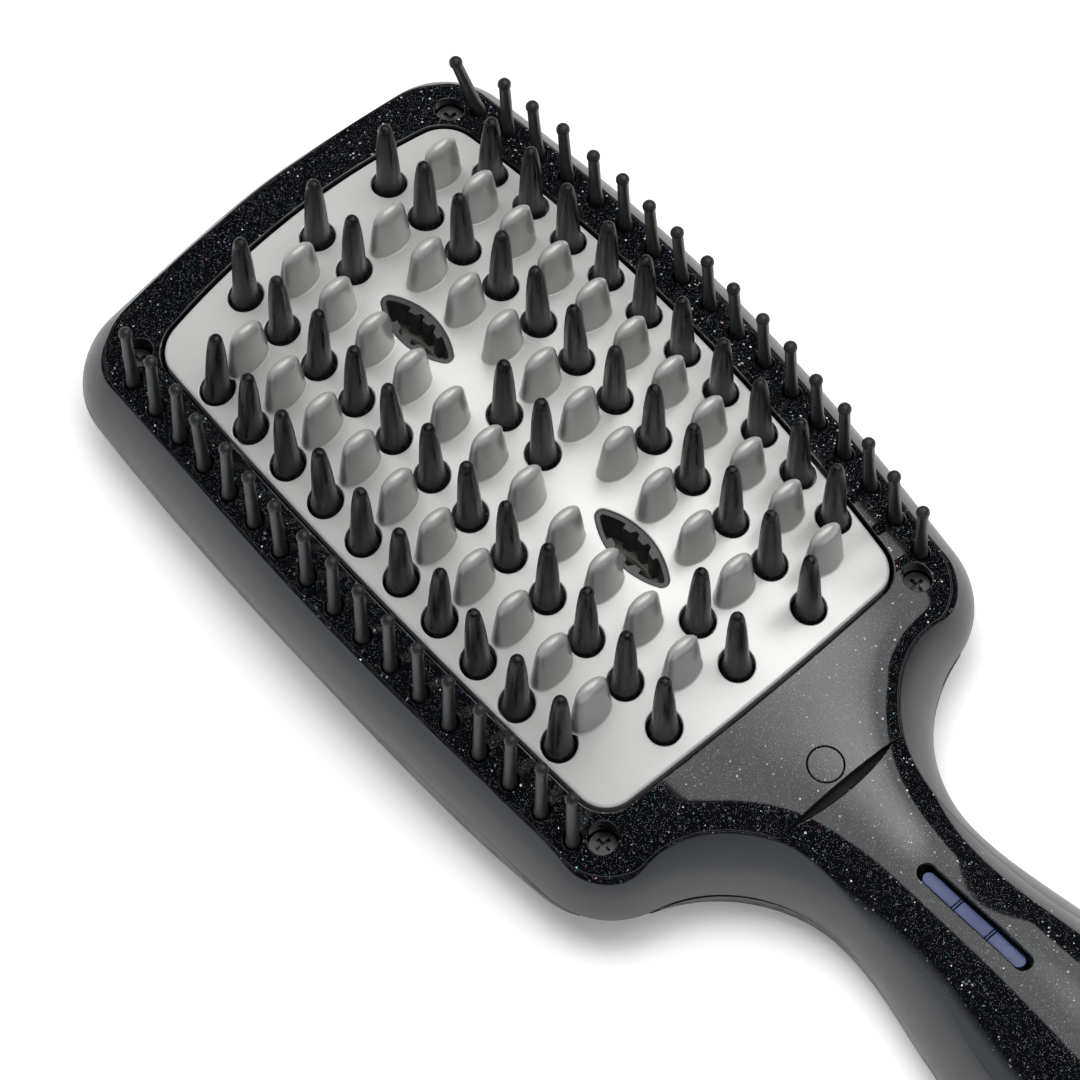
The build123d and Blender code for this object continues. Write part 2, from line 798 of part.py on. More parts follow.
with BuildPart() as edge_pin:
    with BuildSketch(Plane.XZ):
        with BuildLine():
            under = degrees(acos(edge_stem/edge_ball))
            ball = CenterArc((0, edge_height - edge_ball), edge_ball, -under, 90 + under)
            Polyline(ball @ 1, (0, bar_low), (edge_root, bar_low), (edge_root, -panel_thick),
                     (edge_base, -panel_thick), (edge_base, 0.2), ball @ 0)
        make_face()
    revolve(axis=Axis.Z)

bar_reach = edge_pitch*(edge_count - 1)/2
with BuildPart() as bar_band:
    with BuildSketch(Plane.XY):
        with BuildLine():
            outer = ThreePointArc((edge_end + edge_bar, head_y - bar_reach - 1.5),
                                  (edge_mid + edge_bar, head_y),
                                  (edge_end + edge_bar, head_y + bar_reach + 1.5))
            inner = ThreePointArc((edge_end - edge_bar, head_y - bar_reach - 1.5),
                                  (edge_mid - edge_bar, head_y),
                                  (edge_end - edge_bar, head_y + bar_reach + 1.5))
            Line(outer @ 0, inner @ 0)
            Line(outer @ 1, inner @ 1)
        make_face()
    extrude(amount=face_height)

with BuildPart() as right_edge_bristles:
    add(bar_band.part)
    add(face_sheet(bar_top, edge_bar_thick), mode=Mode.INTERSECT)
    with Locations(*[(x, head_y + y, face_z(x, y)) for x, y in edge_places]):
        add(edge_pin.part)

with BuildPart() as left_edge_bristles:
    add(mirror(right_edge_bristles.part, about=Plane.YZ, mode=Mode.PRIVATE))

# ---- Front panel of the head ----
side_rim = rim_inset(side_half, side_belly, side_ease, lambda x: top_z(x, 0))
far_rim = rim_inset(head_reach, corner_belly, far_ease, lambda y: top_z(0, -y))
corner_rim = rim_inset(corner_radius, corner_belly, corner_ease,
                       lambda r: top_z(corner_x + 0.7*r, corner_y + 0.7*r))


def rim_prism(inset, low, high, end_reach, bulge_reach):
    """Prism inside the rim of the head, ended behind the neck by a straight or bowed edge."""
    side_in = side_rim + inset
    far_in = far_rim + inset
    corner_in = corner_rim + inset
    with BuildPart() as prism:
        with BuildSketch(Plane.XY.offset(low)):
            with BuildLine():
                add(body_outline(side_in, far_in, corner_in, corner_in, corner_in))
                mirror(about=Plane.YZ)
            make_face()
        extrude(amount=high - low)
        with BuildSketch(Plane.XY.offset(low)):
            with BuildLine():
                ThreePointArc((-groove_half, along(end_reach)), (0, along(bulge_reach)),
                              (groove_half, along(end_reach)))
                Polyline((groove_half, along(end_reach)), (side_half, along(end_reach)),
                         (side_half, butt_y - 5), (-side_half, butt_y - 5),
                         (-side_half, along(end_reach)), (-groove_half, along(end_reach)))
            make_face()
        extrude(amount=high - low, mode=Mode.SUBTRACT)
    return prism.part


panel_form = rim_prism(rim_lip, 5.0, face_height + 1, panel_end, panel_end + 0.01)
pocket_form = rim_prism(rim_lip - seam, 5.0, face_height + 1, panel_end + seam, groove_reach)
under_panel = crown.moved(Location((0, 0, -panel_thick)))
edge_holes = at_plate(edge_places + [(-x, y) for x, y in edge_places])
recess_form = plate_prism(plate_gap, plate_low - 4, face_height + 1)
recess_floor = crown.moved(Location((0, 0, -plate_thick - fit)))
under_ledge = crown.moved(Location((0, 0, -plate_thick - fit - ledge_thick)))
ledge_column = plate_prism(ledge_outside, -8, face_height + 1)
tongue_boss = posts([plug_place], boss_radius + 0.6, neck_joint, plug_top - 1)
corner_bosses = intersected(posts(at_plate(corner_places), boss_radius, corner_joint, corner_top),
                            crown)


with BuildPart() as plate_recess:
    add(recess_form)
    add(recess_floor, mode=Mode.SUBTRACT)

with BuildPart() as under_skin:
    add(under_panel)
    add(ledge_column, mode=Mode.SUBTRACT)

with BuildPart() as head_panel:
    add(outer_body.part)
    add(panel_form, mode=Mode.INTERSECT)
    add(under_skin.part, mode=Mode.SUBTRACT)
    add(under_ledge, mode=Mode.SUBTRACT)
    add(plate_recess.part, mode=Mode.SUBTRACT)
    add(plate_prism(-ledge_inside, plate_low - 4, face_height + 1), mode=Mode.SUBTRACT)
    add(corner_bosses)
    add(tongue_boss)
    add(posts(edge_holes, edge_hole, plate_low - 4, face_height + 1), mode=Mode.SUBTRACT)
    add(posts(at_plate(corner_places), screw_bore, corner_seat, face_height),
        mode=Mode.SUBTRACT)
    add(posts(at_plate(corner_places), screw_shank + fit, corner_joint - 1, corner_seat + 1),
        mode=Mode.SUBTRACT)
    add(posts([plug_place], plug_radius + seam, neck_seat, face_height), mode=Mode.SUBTRACT)
    add(posts([plug_place], screw_shank + fit, neck_joint - 1, neck_seat + 1),
        mode=Mode.SUBTRACT)

with BuildPart() as panel_screws:
    add(screws(at_plate(corner_places), corner_seat, screw_head, screw_head_thick,
               screw_shank, screw_length, 1))

with BuildPart() as neck_screw:
    add(screws([plug_place], neck_seat, screw_head, screw_head_thick, screw_shank,
               screw_length, 1))

with BuildPart() as neck_plug:
    add(intersected(posts([plug_place], plug_radius, plug_seat, face_height),
                    crown.moved(Location((0, 0, -fit)))))

# ---- Indicator: three lit segments in a sunk window ----
window_place = (0, along(window_reach))
with BuildPart() as lens_blank:
    with BuildSketch(Plane.XY.offset(board_z + led_high + led_gap)):
        with Locations(window_place):
            SlotOverall(lens_length - 2*fit, lens_width - 2*fit, rotation=90)
            with GridLocations(0, lens_length/lens_count, 1, lens_count - 1):
                Rectangle(lens_width, lens_groove, mode=Mode.SUBTRACT)
    extrude(amount=face_height)
lens_cap = crown.moved(Location((0, 0, -lens_sink)))
with BuildPart() as light_pipe:
    add(lens_blank.part)
    add(lens_cap, mode=Mode.INTERSECT)
    with BuildSketch(Plane.XY.offset(board_z + led_high + led_gap)):
        with Locations(window_place):
            Rectangle(2*lens_bar_half, lens_length)
    extrude(amount=lens_bar_thick)

led_places = [(0, along(window_reach) + (i - 1)*lens_length/lens_count)
              for i in range(lens_count)]
with BuildPart() as indicator_leds:
    with BuildSketch(Plane.XY.offset(board_z)):
        with Locations(*led_places):
            Rectangle(led_wide, led_long)
    extrude(amount=led_high)

# ---- Control board with its switches ----
board_places = [(x, along(reach)) for x in (-board_post_x, board_post_x) for reach in board_posts]
switch_places = [(0, along(heat_reach)), (0, along(power_reach))]
with BuildPart() as control_board:
    with BuildSketch(Plane.XY.offset(board_z - board_thick)):
        with BuildLine():
            Polyline((board_neck_half, along(board_start)), (board_neck_half, along(board_shoulder)),
                     (board_half, along(board_shoulder) - 4), (board_half, along(board_end)),
                     (0, along(board_end)))
            Line((board_neck_half, along(board_start)), (0, along(board_start)))
            mirror(about=Plane.YZ)
        make_face()
        with Locations(*board_places):
            Circle(board_screw_shank + fit, mode=Mode.SUBTRACT)
    extrude(amount=board_thick)

with BuildPart() as tact_switches:
    with BuildSketch(Plane.XY.offset(board_z)):
        with Locations(*switch_places):
            Rectangle(switch_size, switch_size)
    extrude(amount=switch_height)
    with BuildSketch(Plane.XY.offset(board_z + switch_height)):
        with Locations(*switch_places):
            Circle(switch_bore)
    extrude(amount=-switch_well, mode=Mode.SUBTRACT)

with BuildPart() as board_screws:
    add(screws(board_places, board_z - board_thick - board_screw_thick, board_screw_head,
               board_screw_thick, board_screw_shank, board_screw_length, -1))


# ---- Buttons ----
def button(outline, reach, proud, foot):
    """Button with a rounded top and a flange that stops under its guide."""
    top = top_z(0, reach) + proud
    flange_top = guide_foot - fit
    with BuildPart() as key:
        with BuildSketch(Plane.XY.offset(flange_top - flange_thick)):
            with Locations((0, along(reach))):
                add(outline)
        extrude(amount=top - flange_top + flange_thick)
        fillet(key.faces().sort_by(Axis.Z)[-1].edges(), button_round)
        with BuildSketch(Plane.XY.offset(flange_top - flange_thick)):
            with Locations((0, along(reach))):
                add(outline)
            offset(amount=flange_over, kind=Kind.ARC)
        extrude(amount=flange_thick)
        with BuildSketch(Plane.XY.offset(foot)):
            with Locations((0, along(reach))):
                Circle(stem_radius)
        extrude(amount=flange_top - flange_thick - foot)
    return key.part


def round_outline(radius):
    with BuildSketch() as shape:
        Circle(radius)
    return shape.sketch


def long_outline(grow):
    with BuildSketch() as shape:
        SlotOverall(steam_length + 2*grow, 2*(steam_radius + grow), rotation=90)
    return shape.sketch


switch_foot = board_z + switch_height - stem_engage
with BuildPart() as heat_button:
    add(button(round_outline(heat_radius), heat_reach, button_proud, switch_foot))

with BuildPart() as power_button:
    add(button(round_outline(power_radius), power_reach, button_proud, switch_foot))

with BuildPart() as steam_button:
    add(button(long_outline(0), steam_reach, steam_proud, piston_foot))
    with BuildSketch(Plane.XY.offset(piston_foot)):
        with Locations((0, along(steam_reach))):
            Circle(pump_bore - piston_fit)
    extrude(amount=guide_foot - flange_thick - piston_foot)

# ---- Pump under the steam button, with its inlet socket over the tank ----
pump_place = (0, along(steam_reach))
spigot_place = (0, along(spigot_reach))
with BuildPart() as pump:
    with BuildSketch(Plane.XY.offset(pump_base)):
        with Locations(pump_place):
            Circle(pump_radius)
    extrude(amount=pump_top - pump_base)
    with BuildSketch(Plane.XY.offset(coupling_foot)):
        with Locations((0, (pump_place[1] + spigot_place[1])/2)):
            Rectangle(2*pump_arm, spigot_place[1] - pump_place[1])
        with Locations(spigot_place):
            Circle(coupling_radius)
    extrude(amount=coupling_top - coupling_foot)
    with BuildSketch(Plane.XZ.offset(-pump_place[1])):
        with Locations(((pump_radius + hose_x)/2, hose_z)):
            Rectangle(hose_x - pump_radius + 5.0, 2*hose_radius)
    extrude(amount=hose_radius, both=True)
    with BuildSketch(Plane.XZ.offset(-(pump_place[1] + hose_radius))):
        with Locations((hose_x, hose_z)):
            Circle(nipple_radius)
    extrude(amount=-nipple_length)
    with BuildSketch(Plane.XY.offset(pump_floor)):
        with Locations(pump_place):
            Circle(pump_bore)
    extrude(amount=pump_top, mode=Mode.SUBTRACT)
    with BuildSketch(Plane.XY.offset(coupling_foot)):
        with Locations(spigot_place):
            Circle(seal_radius + fit)
    extrude(amount=seal_high + fit, mode=Mode.SUBTRACT)
    with BuildSketch(Plane.XY.offset(coupling_foot)):
        with Locations(spigot_place):
            Circle(spigot_radius + slide_gap)
    extrude(amount=spigot_top + slide_gap - coupling_foot, mode=Mode.SUBTRACT)

with BuildPart() as tank_seal:
    with BuildSketch(Plane.XY.offset(coupling_foot)):
        with Locations(spigot_place):
            Circle(seal_radius)
            Circle(spigot_radius + gland_fit, mode=Mode.SUBTRACT)
    extrude(amount=seal_high)

hose_start = chamber_end - 0.3
hose_end = pump_place[1] + hose_radius + 0.3
with BuildPart() as steam_hose:
    with BuildSketch(Plane.XZ.offset(-hose_start)):
        with Locations((hose_x, hose_z)):
            Circle(hose_radius)
            Circle(hose_bore, mode=Mode.SUBTRACT)
    extrude(amount=hose_start - hose_end)

# ---- Water tank in the underside of the handle ----
tank_y = along((tank_start + tank_end)/2)
tank_long = tank_end - tank_start
tank_skin = back.moved(Location((0, 0, tank_lift)))
tank_floor = back.moved(Location((0, 0, tank_lift + tank_wall)))
with BuildPart() as tank_space:
    with BuildSketch(Plane.XY):
        with Locations((0, tank_y)):
            RectangleRounded(2*(tank_half - tank_wall), tank_long - 2*tank_wall,
                             tank_corner - tank_wall)
    extrude(amount=tank_top - tank_wall)
cap_place = (0, along(cap_reach))
cap_seat = back_z(0, cap_reach) + tank_lift + cap_thick
with BuildPart() as water_tank:
    with BuildSketch(Plane.XY):
        with Locations((0, tank_y)):
            RectangleRounded(2*tank_half, tank_long, tank_corner)
    extrude(amount=tank_top)
    add(tank_skin, mode=Mode.INTERSECT)
    add(intersected(tank_space.part, tank_floor), mode=Mode.SUBTRACT)
    add(posts([cap_place], cap_head + 1.4, cap_seat - fit, cap_seat + tank_wall))
    add(posts([cap_place], cap_head + cap_recess_gap, 0, cap_seat), mode=Mode.SUBTRACT)
    add(posts([cap_place], cap_plug + fit, 0, cap_seat + tank_wall + 1), mode=Mode.SUBTRACT)
    add(posts([spigot_place], spigot_radius, tank_top - 1, spigot_top))
    add(posts([spigot_place], spigot_bore, tank_top - tank_wall - 1, spigot_top + 1),
        mode=Mode.SUBTRACT)

cap_low = back_z(cap_head, cap_reach) + tank_lift
with BuildPart() as tank_cap:
    add(posts([cap_place], cap_head, cap_low, cap_seat - fit))
    add(posts([cap_place], cap_plug, cap_low, cap_seat + cap_depth))

# ---- Housings ----
heel_places = [(x, along(heel_screw_reach)) for x in (-heel_screw_x, heel_screw_x)]
heel_outside = back_z(heel_screw_x, heel_screw_reach)
heel_seat = heel_outside + heel_sink
bay_half = tank_half + slide_gap
bay_long = tank_long + 2*slide_gap

with BuildPart() as gland_collar:
    with BuildSketch(Plane.XZ.offset(-(butt_y + collar_thick))):
        with Locations((0, gland_z)):
            Circle(collar_radius)
    extrude(amount=collar_thick)

with BuildPart() as gland_hole:
    with BuildSketch(Plane.XZ.offset(-(butt_y + collar_thick + 1))):
        with Locations((0, gland_z)):
            Circle(gland_neck + gland_fit)
    extrude(amount=collar_thick + 6)

with BuildPart() as rear_innards:
    add(posts(at_plate(corner_places), boss_radius, 0, corner_joint - fit))
    add(posts(heel_places, boss_radius, 0, heel_joint))
    add(posts([pump_place], pump_radius + 1.0, 0, pump_base - fit))
    with BuildSketch(Plane.XY):
        with Locations((0, tank_y)):
            RectangleRounded(2*(bay_half + bay_wall), bay_long + 2*bay_wall,
                             tank_corner + bay_wall)
    extrude(amount=tank_top)

rear_block = parting_block(0)
rear_fittings = intersected(outer_body.part, rear_innards.part)
rear_collar = intersected(gland_collar.part, rear_block)
with BuildPart() as rear_housing:
    add(shell.part)
    add(rear_block, mode=Mode.INTERSECT)
    add(rear_fittings)
    add(rear_collar)
    with BuildSketch(Plane.XY.offset(-1)):
        with Locations((0, tank_y)):
            RectangleRounded(2*bay_half, bay_long, tank_corner + slide_gap)
    extrude(amount=face_height, mode=Mode.SUBTRACT)
    add(gland_hole.part, mode=Mode.SUBTRACT)
    add(posts(at_plate(corner_places), screw_shank + fit, corner_seat - screw_length - 0.4,
              corner_top), mode=Mode.SUBTRACT)
    add(posts(heel_places, screw_bore, -1, heel_seat), mode=Mode.SUBTRACT)
    add(posts(heel_places, screw_shank + fit, heel_seat - 1, heel_joint + 1),
        mode=Mode.SUBTRACT)

with BuildPart() as handle_screws:
    add(screws(heel_places, heel_seat - fit - screw_head_thick, screw_head, screw_head_thick,
               screw_shank, screw_length + 2, -1))


def guide_sleeve(outline, reach):
    """Sleeve under the roof that a button slides in."""
    with BuildPart() as sleeve:
        with BuildSketch(Plane.XY.offset(guide_foot)):
            with Locations((0, along(reach))):
                add(outline)
        extrude(amount=top_z(0, reach) - guide_foot - 0.5)
    return sleeve.part


def button_hole(outline, reach):
    with BuildPart() as hole:
        with BuildSketch(Plane.XY.offset(guide_foot - 1)):
            with Locations((0, along(reach))):
                add(outline)
        extrude(amount=face_height)
    return hole.part


bridge_y = along((bridge_start + bridge_end)/2)
bridge_long = bridge_end - bridge_start
shelf_start = plug_reach + boss_radius + 0.6 + slide_gap
with BuildPart() as shelf_block:
    with BuildSketch(Plane.XY.offset(5)):
        with Locations((0, along((shelf_start + shelf_reach)/2))):
            Rectangle(2*side_half, shelf_reach - shelf_start)
    extrude(amount=face_height)
shelf_form = intersected(shelf_block.part, outer_body.part,
                         crown.moved(Location((0, 0, -panel_thick - fit))))
shelf_space = crown.moved(Location((0, 0, -panel_thick - fit - shelf_thick)))
with BuildPart() as shelf:
    add(shelf_form)
    add(shelf_space, mode=Mode.SUBTRACT)

with BuildPart() as bridge_block:
    with BuildSketch(Plane.XY.offset(neck_joint - fit - bridge_thick)):
        with Locations((0, bridge_y)):
            Rectangle(2*side_half, bridge_long)
    extrude(amount=bridge_thick)
    add(posts([plug_place], boss_radius, neck_seat - screw_length - 0.6, neck_joint - fit))
bridge = intersected(bridge_block.part, outer_body.part,
                     crown.moved(Location((0, 0, -panel_thick - fit))))

with BuildPart() as hanging_posts:
    add(posts(board_places, board_post_radius, board_z + fit, face_height))
    add(posts(heel_places, boss_radius, heel_joint + fit, face_height))
front_posts = intersected(hanging_posts.part, outer_body.part)
front_block = parting_block(seam)
sleeve_grow = slide_gap + guide_wall
front_guides = [guide_sleeve(round_outline(heat_radius + sleeve_grow), heat_reach),
                guide_sleeve(round_outline(power_radius + sleeve_grow), power_reach),
                guide_sleeve(long_outline(sleeve_grow), steam_reach)]
front_holes = [button_hole(round_outline(heat_radius + slide_gap), heat_reach),
               button_hole(round_outline(power_radius + slide_gap), power_reach),
               button_hole(long_outline(slide_gap), steam_reach)]

with BuildPart() as front_pocket:
    add(pocket_form)
    add(under_panel, mode=Mode.SUBTRACT)

with BuildPart() as window_recess:
    with BuildSketch(Plane.XY.offset(board_z)):
        with Locations(window_place):
            SlotOverall(window_length, window_width, rotation=90)
    extrude(amount=face_height)
    add(lens_cap, mode=Mode.SUBTRACT)
    with BuildSketch(Plane.XY.offset(board_z)):
        with Locations(window_place):
            SlotOverall(lens_length, lens_width, rotation=90)
    extrude(amount=face_height)

with BuildPart() as front_housing:
    add(shell.part)
    add(front_pocket.part, mode=Mode.SUBTRACT)
    add(shelf.part)
    add(bridge)
    add(gland_collar.part)
    add(front_posts)
    for guide in front_guides:
        add(guide)
    add(front_block, mode=Mode.SUBTRACT)
    for hole in front_holes:
        add(hole, mode=Mode.SUBTRACT)
    add(window_recess.part, mode=Mode.SUBTRACT)
    add(gland_hole.part, mode=Mode.SUBTRACT)
    add(posts([plug_place], screw_shank + fit, neck_seat - screw_length - 0.4, neck_joint),
        mode=Mode.SUBTRACT)
    add(posts(heel_places, screw_shank + fit, heel_joint - 1, heel_seat + screw_length + 2.4),
        mode=Mode.SUBTRACT)
    add(posts(board_places, board_screw_shank + fit, board_z,
              board_z - board_thick + board_screw_length + 0.4), mode=Mode.SUBTRACT)

# ---- Cord gland that turns in the heel ----
gland_inner = butt_y + collar_thick + fit
with BuildPart() as cord_gland:
    with BuildSketch(Plane.YZ):
        with BuildLine():
            mouth = butt_y - gland_reach
            Polyline((mouth, gland_z + gland_bore), (mouth, gland_z + gland_mouth),
                     (butt_y - 2.5, gland_z + gland_outer), (butt_y - fit, gland_z + gland_outer),
                     (butt_y - fit, gland_z + gland_neck), (gland_inner, gland_z + gland_neck),
                     (gland_inner, gland_z + gland_flange),
                     (gland_inner + gland_flange_thick, gland_z + gland_flange),
                     (gland_inner + gland_flange_thick, gland_z + gland_bore),
                     (mouth, gland_z + gland_bore))
        make_face()
    revolve(axis=Axis((0, 0, gland_z), (0, 1, 0)))

# ---- Wiring inside the handle ----
with BuildPart() as terminal_block:
    with BuildSketch(Plane.XY.offset(terminal_z)):
        with Locations((0, along(terminal_reach))):
            Rectangle(terminal_wide, terminal_long)
    extrude(amount=terminal_high)
    chamfer(terminal_block.edges().filter_by(Axis.Y), 1.0)


def straight_leads(places, start, end, radius):
    """Straight wires along Y at (x, z) places."""
    with BuildPart() as wires:
        with BuildSketch(Plane.XZ.offset(-start)):
            with Locations(*places):
                Circle(radius)
        extrude(amount=start - end)
    return wires.part


with BuildPart() as mains_leads:
    add(straight_leads([(-lead_x, lead_z), (lead_x, lead_z)],
                       along(board_end) + mains_lead_start, along(terminal_reach), lead_radius))

with BuildPart() as heater_leads:
    add(straight_leads([(heater_lead_x, heater_lead_z),
                        (heater_lead_x - heater_lead_pitch, heater_lead_z)],
                       chamber_end - lead_overlap, along(board_shoulder), lead_radius))

# ---- Write every part ----
os.makedirs("parts", exist_ok=True)
pieces = {
    "head_panel": head_panel, "front_housing": front_housing, "rear_housing": rear_housing,
    "heated_plate": heated_plate, "bristle_mat": bristle_mat,
    "left_edge_bristles": left_edge_bristles, "right_edge_bristles": right_edge_bristles,
    "outlet_ducts": outlet_ducts, "steam_chamber": steam_chamber, "steam_hose": steam_hose,
    "heaters": heaters, "mica_sheets": mica_sheets, "heater_clamp": heater_clamp,
    "clamp_screws": clamp_screws, "thermistor": thermistor, "thermal_fuse": thermal_fuse,
    "panel_screws": panel_screws, "neck_screw": neck_screw, "neck_plug": neck_plug,
    "light_pipe": light_pipe, "indicator_leds": indicator_leds,
    "control_board": control_board, "tact_switches": tact_switches,
    "board_screws": board_screws, "heat_button": heat_button, "power_button": power_button,
    "steam_button": steam_button, "pump": pump, "tank_seal": tank_seal,
    "water_tank": water_tank, "tank_cap": tank_cap, "cord_gland": cord_gland,
    "terminal_block": terminal_block, "mains_leads": mains_leads,
    "heater_leads": heater_leads, "handle_screws": handle_screws}
for name, piece in pieces.items():
    piece.part.label = name
    export_step(piece.part, "parts/" + name + ".step")
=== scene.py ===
"""Looks of the steam straightening brush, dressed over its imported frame.

Sizes are in millimetres in the frame's own axes: +Z out of the heated face,
+Y towards the end of the head.  Meshes are written in metres.
"""

import math
import random

import bpy
import bmesh
from mathutils import Matrix, Vector
from mathutils.geometry import delaunay_2d_cdt
from mathutils.kdtree import KDTree


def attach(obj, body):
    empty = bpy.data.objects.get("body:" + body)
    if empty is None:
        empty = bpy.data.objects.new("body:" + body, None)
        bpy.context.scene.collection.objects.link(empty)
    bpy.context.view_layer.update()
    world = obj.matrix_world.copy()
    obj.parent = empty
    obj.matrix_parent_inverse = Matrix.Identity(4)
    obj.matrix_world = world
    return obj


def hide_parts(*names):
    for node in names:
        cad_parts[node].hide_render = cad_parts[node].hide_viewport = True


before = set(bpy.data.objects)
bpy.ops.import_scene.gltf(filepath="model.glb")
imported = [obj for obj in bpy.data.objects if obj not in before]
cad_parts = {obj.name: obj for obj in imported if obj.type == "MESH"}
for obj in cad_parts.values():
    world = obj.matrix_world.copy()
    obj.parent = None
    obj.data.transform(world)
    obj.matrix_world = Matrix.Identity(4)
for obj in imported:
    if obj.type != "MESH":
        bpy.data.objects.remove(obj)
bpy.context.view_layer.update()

MM = 0.001

# ---- Body ----
head_y = 83.1
head_reach = 63.9
butt_y = -139.0
side_half = 43.5
corner_x, corner_y, corner_radius = 27.2, 49.3, 13.9
neck_reach, neck_half = 85.0, 12.9
throat_reach, throat_half = 105.0, 16.1
grip_reach, grip_half = 152.0, 19.0
butt_half, butt_round = 17.0, 15.0
side_belly, side_ease = 12.6, 10.2
corner_belly, corner_ease, far_ease = 7.9, 11.2, 25.5
grip_belly, throat_ease, grip_ease = 6.9, 13.75, 19.0
face_height, face_across, face_along = 29.4, 103.0, 246.0
parting_radius, parting_bend, parting_level = 456.0, 56.0, 80.0
seam = 0.12
shoulder_width = 5.0

# ---- Heated field ----
plate_half, plate_reach = 31.7, 52.3
plate_corner_x, plate_corner_y, plate_corner = 24.2, 45.5, 5.5
pitch = 8.5
pin_columns, fin_columns = (14.2, 27.7), (7.1, 20.9)
pin_hole, corner_pin_in = 2.75, 0.7
outlet_y, outlet_length, outlet_width, outlet_tip = 23.9, 15.2, 6.2, 1.2
edge_count, edge_pitch, edge_end, edge_mid, edge_hole = 17, 6.18, 34.4, 37.1, 1.45

# ---- Panel, plug, window and keys ----
rim_lip = 0.4
panel_end, groove_reach, groove_half = 69.3, 70.9, 10.0
screw_x, screw_y, screw_bore = 31.0, 52.3, 2.3
plug_reach, plug_radius = 66.0, 2.7
window_reach, window_length, window_width = 97.5, 22.6, 2.75
lens_length, lens_width, lens_sink = 20.6, 2.05, 1.2
slide_gap = 0.25
heat_reach, heat_radius = 134.5, 4.5
power_reach, power_radius = 147.0, 5.5
steam_reach, steam_radius, steam_length = 172.0, 5.5, 20.0

# ---- Edges: their rounding and depth, gaps and ledges ----
lip_narrow, lip_short = 0.955, 0.975
pocket_deep, window_edge, key_hole_edge = 2.3, (0.3, 4.0), (0.3, 2.4)
shelf_half, shelf_start, shelf_end, shelf_sunk = 10.4, 67, 73, 1.9
panel_edge, opening_edge, edge_hole_edge = (0.12, 2.2), (0.3, 2.05), (0.2, 1.6)
screw_hole_edge, plug_hole_edge, plug_edge = (0.2, 4.4), (0.12, 1.3), (0.15, 1.1)
opening_gap, opening_ledge, screw_ledge, plug_sunk = 0.6, 1.5, 1.1, 0.05
plate_edge, pin_hole_edge, outlet_edge = (0.45, 1.95), (0.22, 1.95), (0.2, 1.95)
outlet_gap, liner_sunk, liner_edge, liner_bore_edge = 0.05, 0.3, (0.12, 2.0), (0.06, 7.0)
lens_edge, rib_edge = (0.12, 1.6), (0.05, 1.6)

# ---- Fins, teeth and lens ribs ----
# The last of these is the height over the plate above which fin faces take the darker silver
# copy: painted shade.
fin_fillet, fin_shoulder, fin_top, fin_follow, fin_shade_rise = 0.25, 8.2, 10.6, 2.5, 0.6
fin_foot, fin_tip = (3.6, 2.1), (2.9, 1.3)
liner_wall, tooth_pitch, tooth_half, tooth_flank, tooth_high = 0.7, 2.6, 0.85, 0.2, 0.8
rib_half_wide, rib_half_thick, rib_room = 1.0, 0.14, 0.32


# ---- Surfaces of the body ----
def along(reach):
    return head_y - reach


def sag(radius, half):
    return radius - math.sqrt(radius**2 - half**2)


def part_way(value, start, run):
    """Share of a run that a value has covered, held between 0 and 1."""
    return min(max((value - start)/run, 0), 1)


def eased(low, leave, high, arrive, span, t):
    """Smooth value between two ends, with a slope at each."""
    return (low*(1 + 2*t)*(1 - t)**2 + leave*span*t*(1 - t)**2
            + high*t*t*(3 - 2*t) + arrive*span*t*t*(t - 1))


# Top line: reach behind the plate's centre, drop below the face, crown radius.
top_line = [(-66.4 + 11.87*i, sag(face_along, -66.4 + 11.87*i), face_across) for i in range(11)]
top_line += [(60.0, 7.0, 84.0), (70.0, 8.3, 38.0), (85.0, 9.8, 18.0), (105.0, 6.6, 18.5),
             (128.0, 4.8, 22.0), (152.0, 4.5, 24.0), (224.6, 6.0, 23.0)]


def face_z(x, y):
    return face_height - sag(face_across, x) - sag(face_along, y - head_y)


def run_through(stations, reach):
    """Value on the smooth line through (reach, value) stations."""
    last = len(stations) - 1
    i = 0
    while i < last - 1 and reach > stations[i + 1][0]:
        i += 1

    def slope(k):
        before, after = stations[max(k - 1, 0)], stations[min(k + 1, last)]
        return (after[1] - before[1])/(after[0] - before[0])

    (start, low), (end, high) = stations[i], stations[i + 1]
    span = end - start
    return eased(low, slope(i), high, slope(i + 1), span, (reach - start)/span)


top_drop = [(reach, drop) for reach, drop, _ in top_line]
top_bend = [(reach, 1/crown) for reach, _, crown in top_line]


def top_z(x, y):
    """Height of the crowned top of the head, neck and handle."""
    reach = head_y - y
    radius = 1/run_through(top_bend, reach)
    shoulder = 0.8*radius    # beyond this the crown runs on straight, at 4 in 3
    if abs(x) <= shoulder:
        fall = sag(radius, x)
    else:
        fall = sag(radius, shoulder) + (abs(x) - shoulder)*4/3
    return face_height - run_through(top_drop, reach) - fall


def shoulder_drop(y):
    """How far the top rolls down to the rim: little on the head, more on the handle."""
    reach = head_y - y
    return 0.1 + 0.4*part_way(reach, 46, 12) + 0.4*part_way(reach, 70, 18)


def parting_z(y):
    """Height of the line between the front and rear housings."""
    reach = head_y - y
    if reach <= parting_bend:
        return side_belly - sag(parting_radius, reach)
    if reach >= parting_level:
        return grip_belly
    start = side_belly - sag(parting_radius, parting_bend)
    span = parting_level - parting_bend
    steep = parting_bend/math.sqrt(parting_radius**2 - parting_bend**2)
    return eased(start, -steep, grip_belly, 0, span, (reach - parting_bend)/span)


def normal_of(height, x, y):
    step = 0.05
    slope_x = (height(x + step, y) - height(x - step, y))/(2*step)
    slope_y = (height(x, y + step) - height(x, y - step))/(2*step)
    return Vector((-slope_x, -slope_y, 1)).normalized()


# ---- Outlines seen from above, counter-clockwise ----
def bow_radius(half, near, across, r):
    return (r**2 - (half - near)**2 - across**2)/(2*(near + r - half))


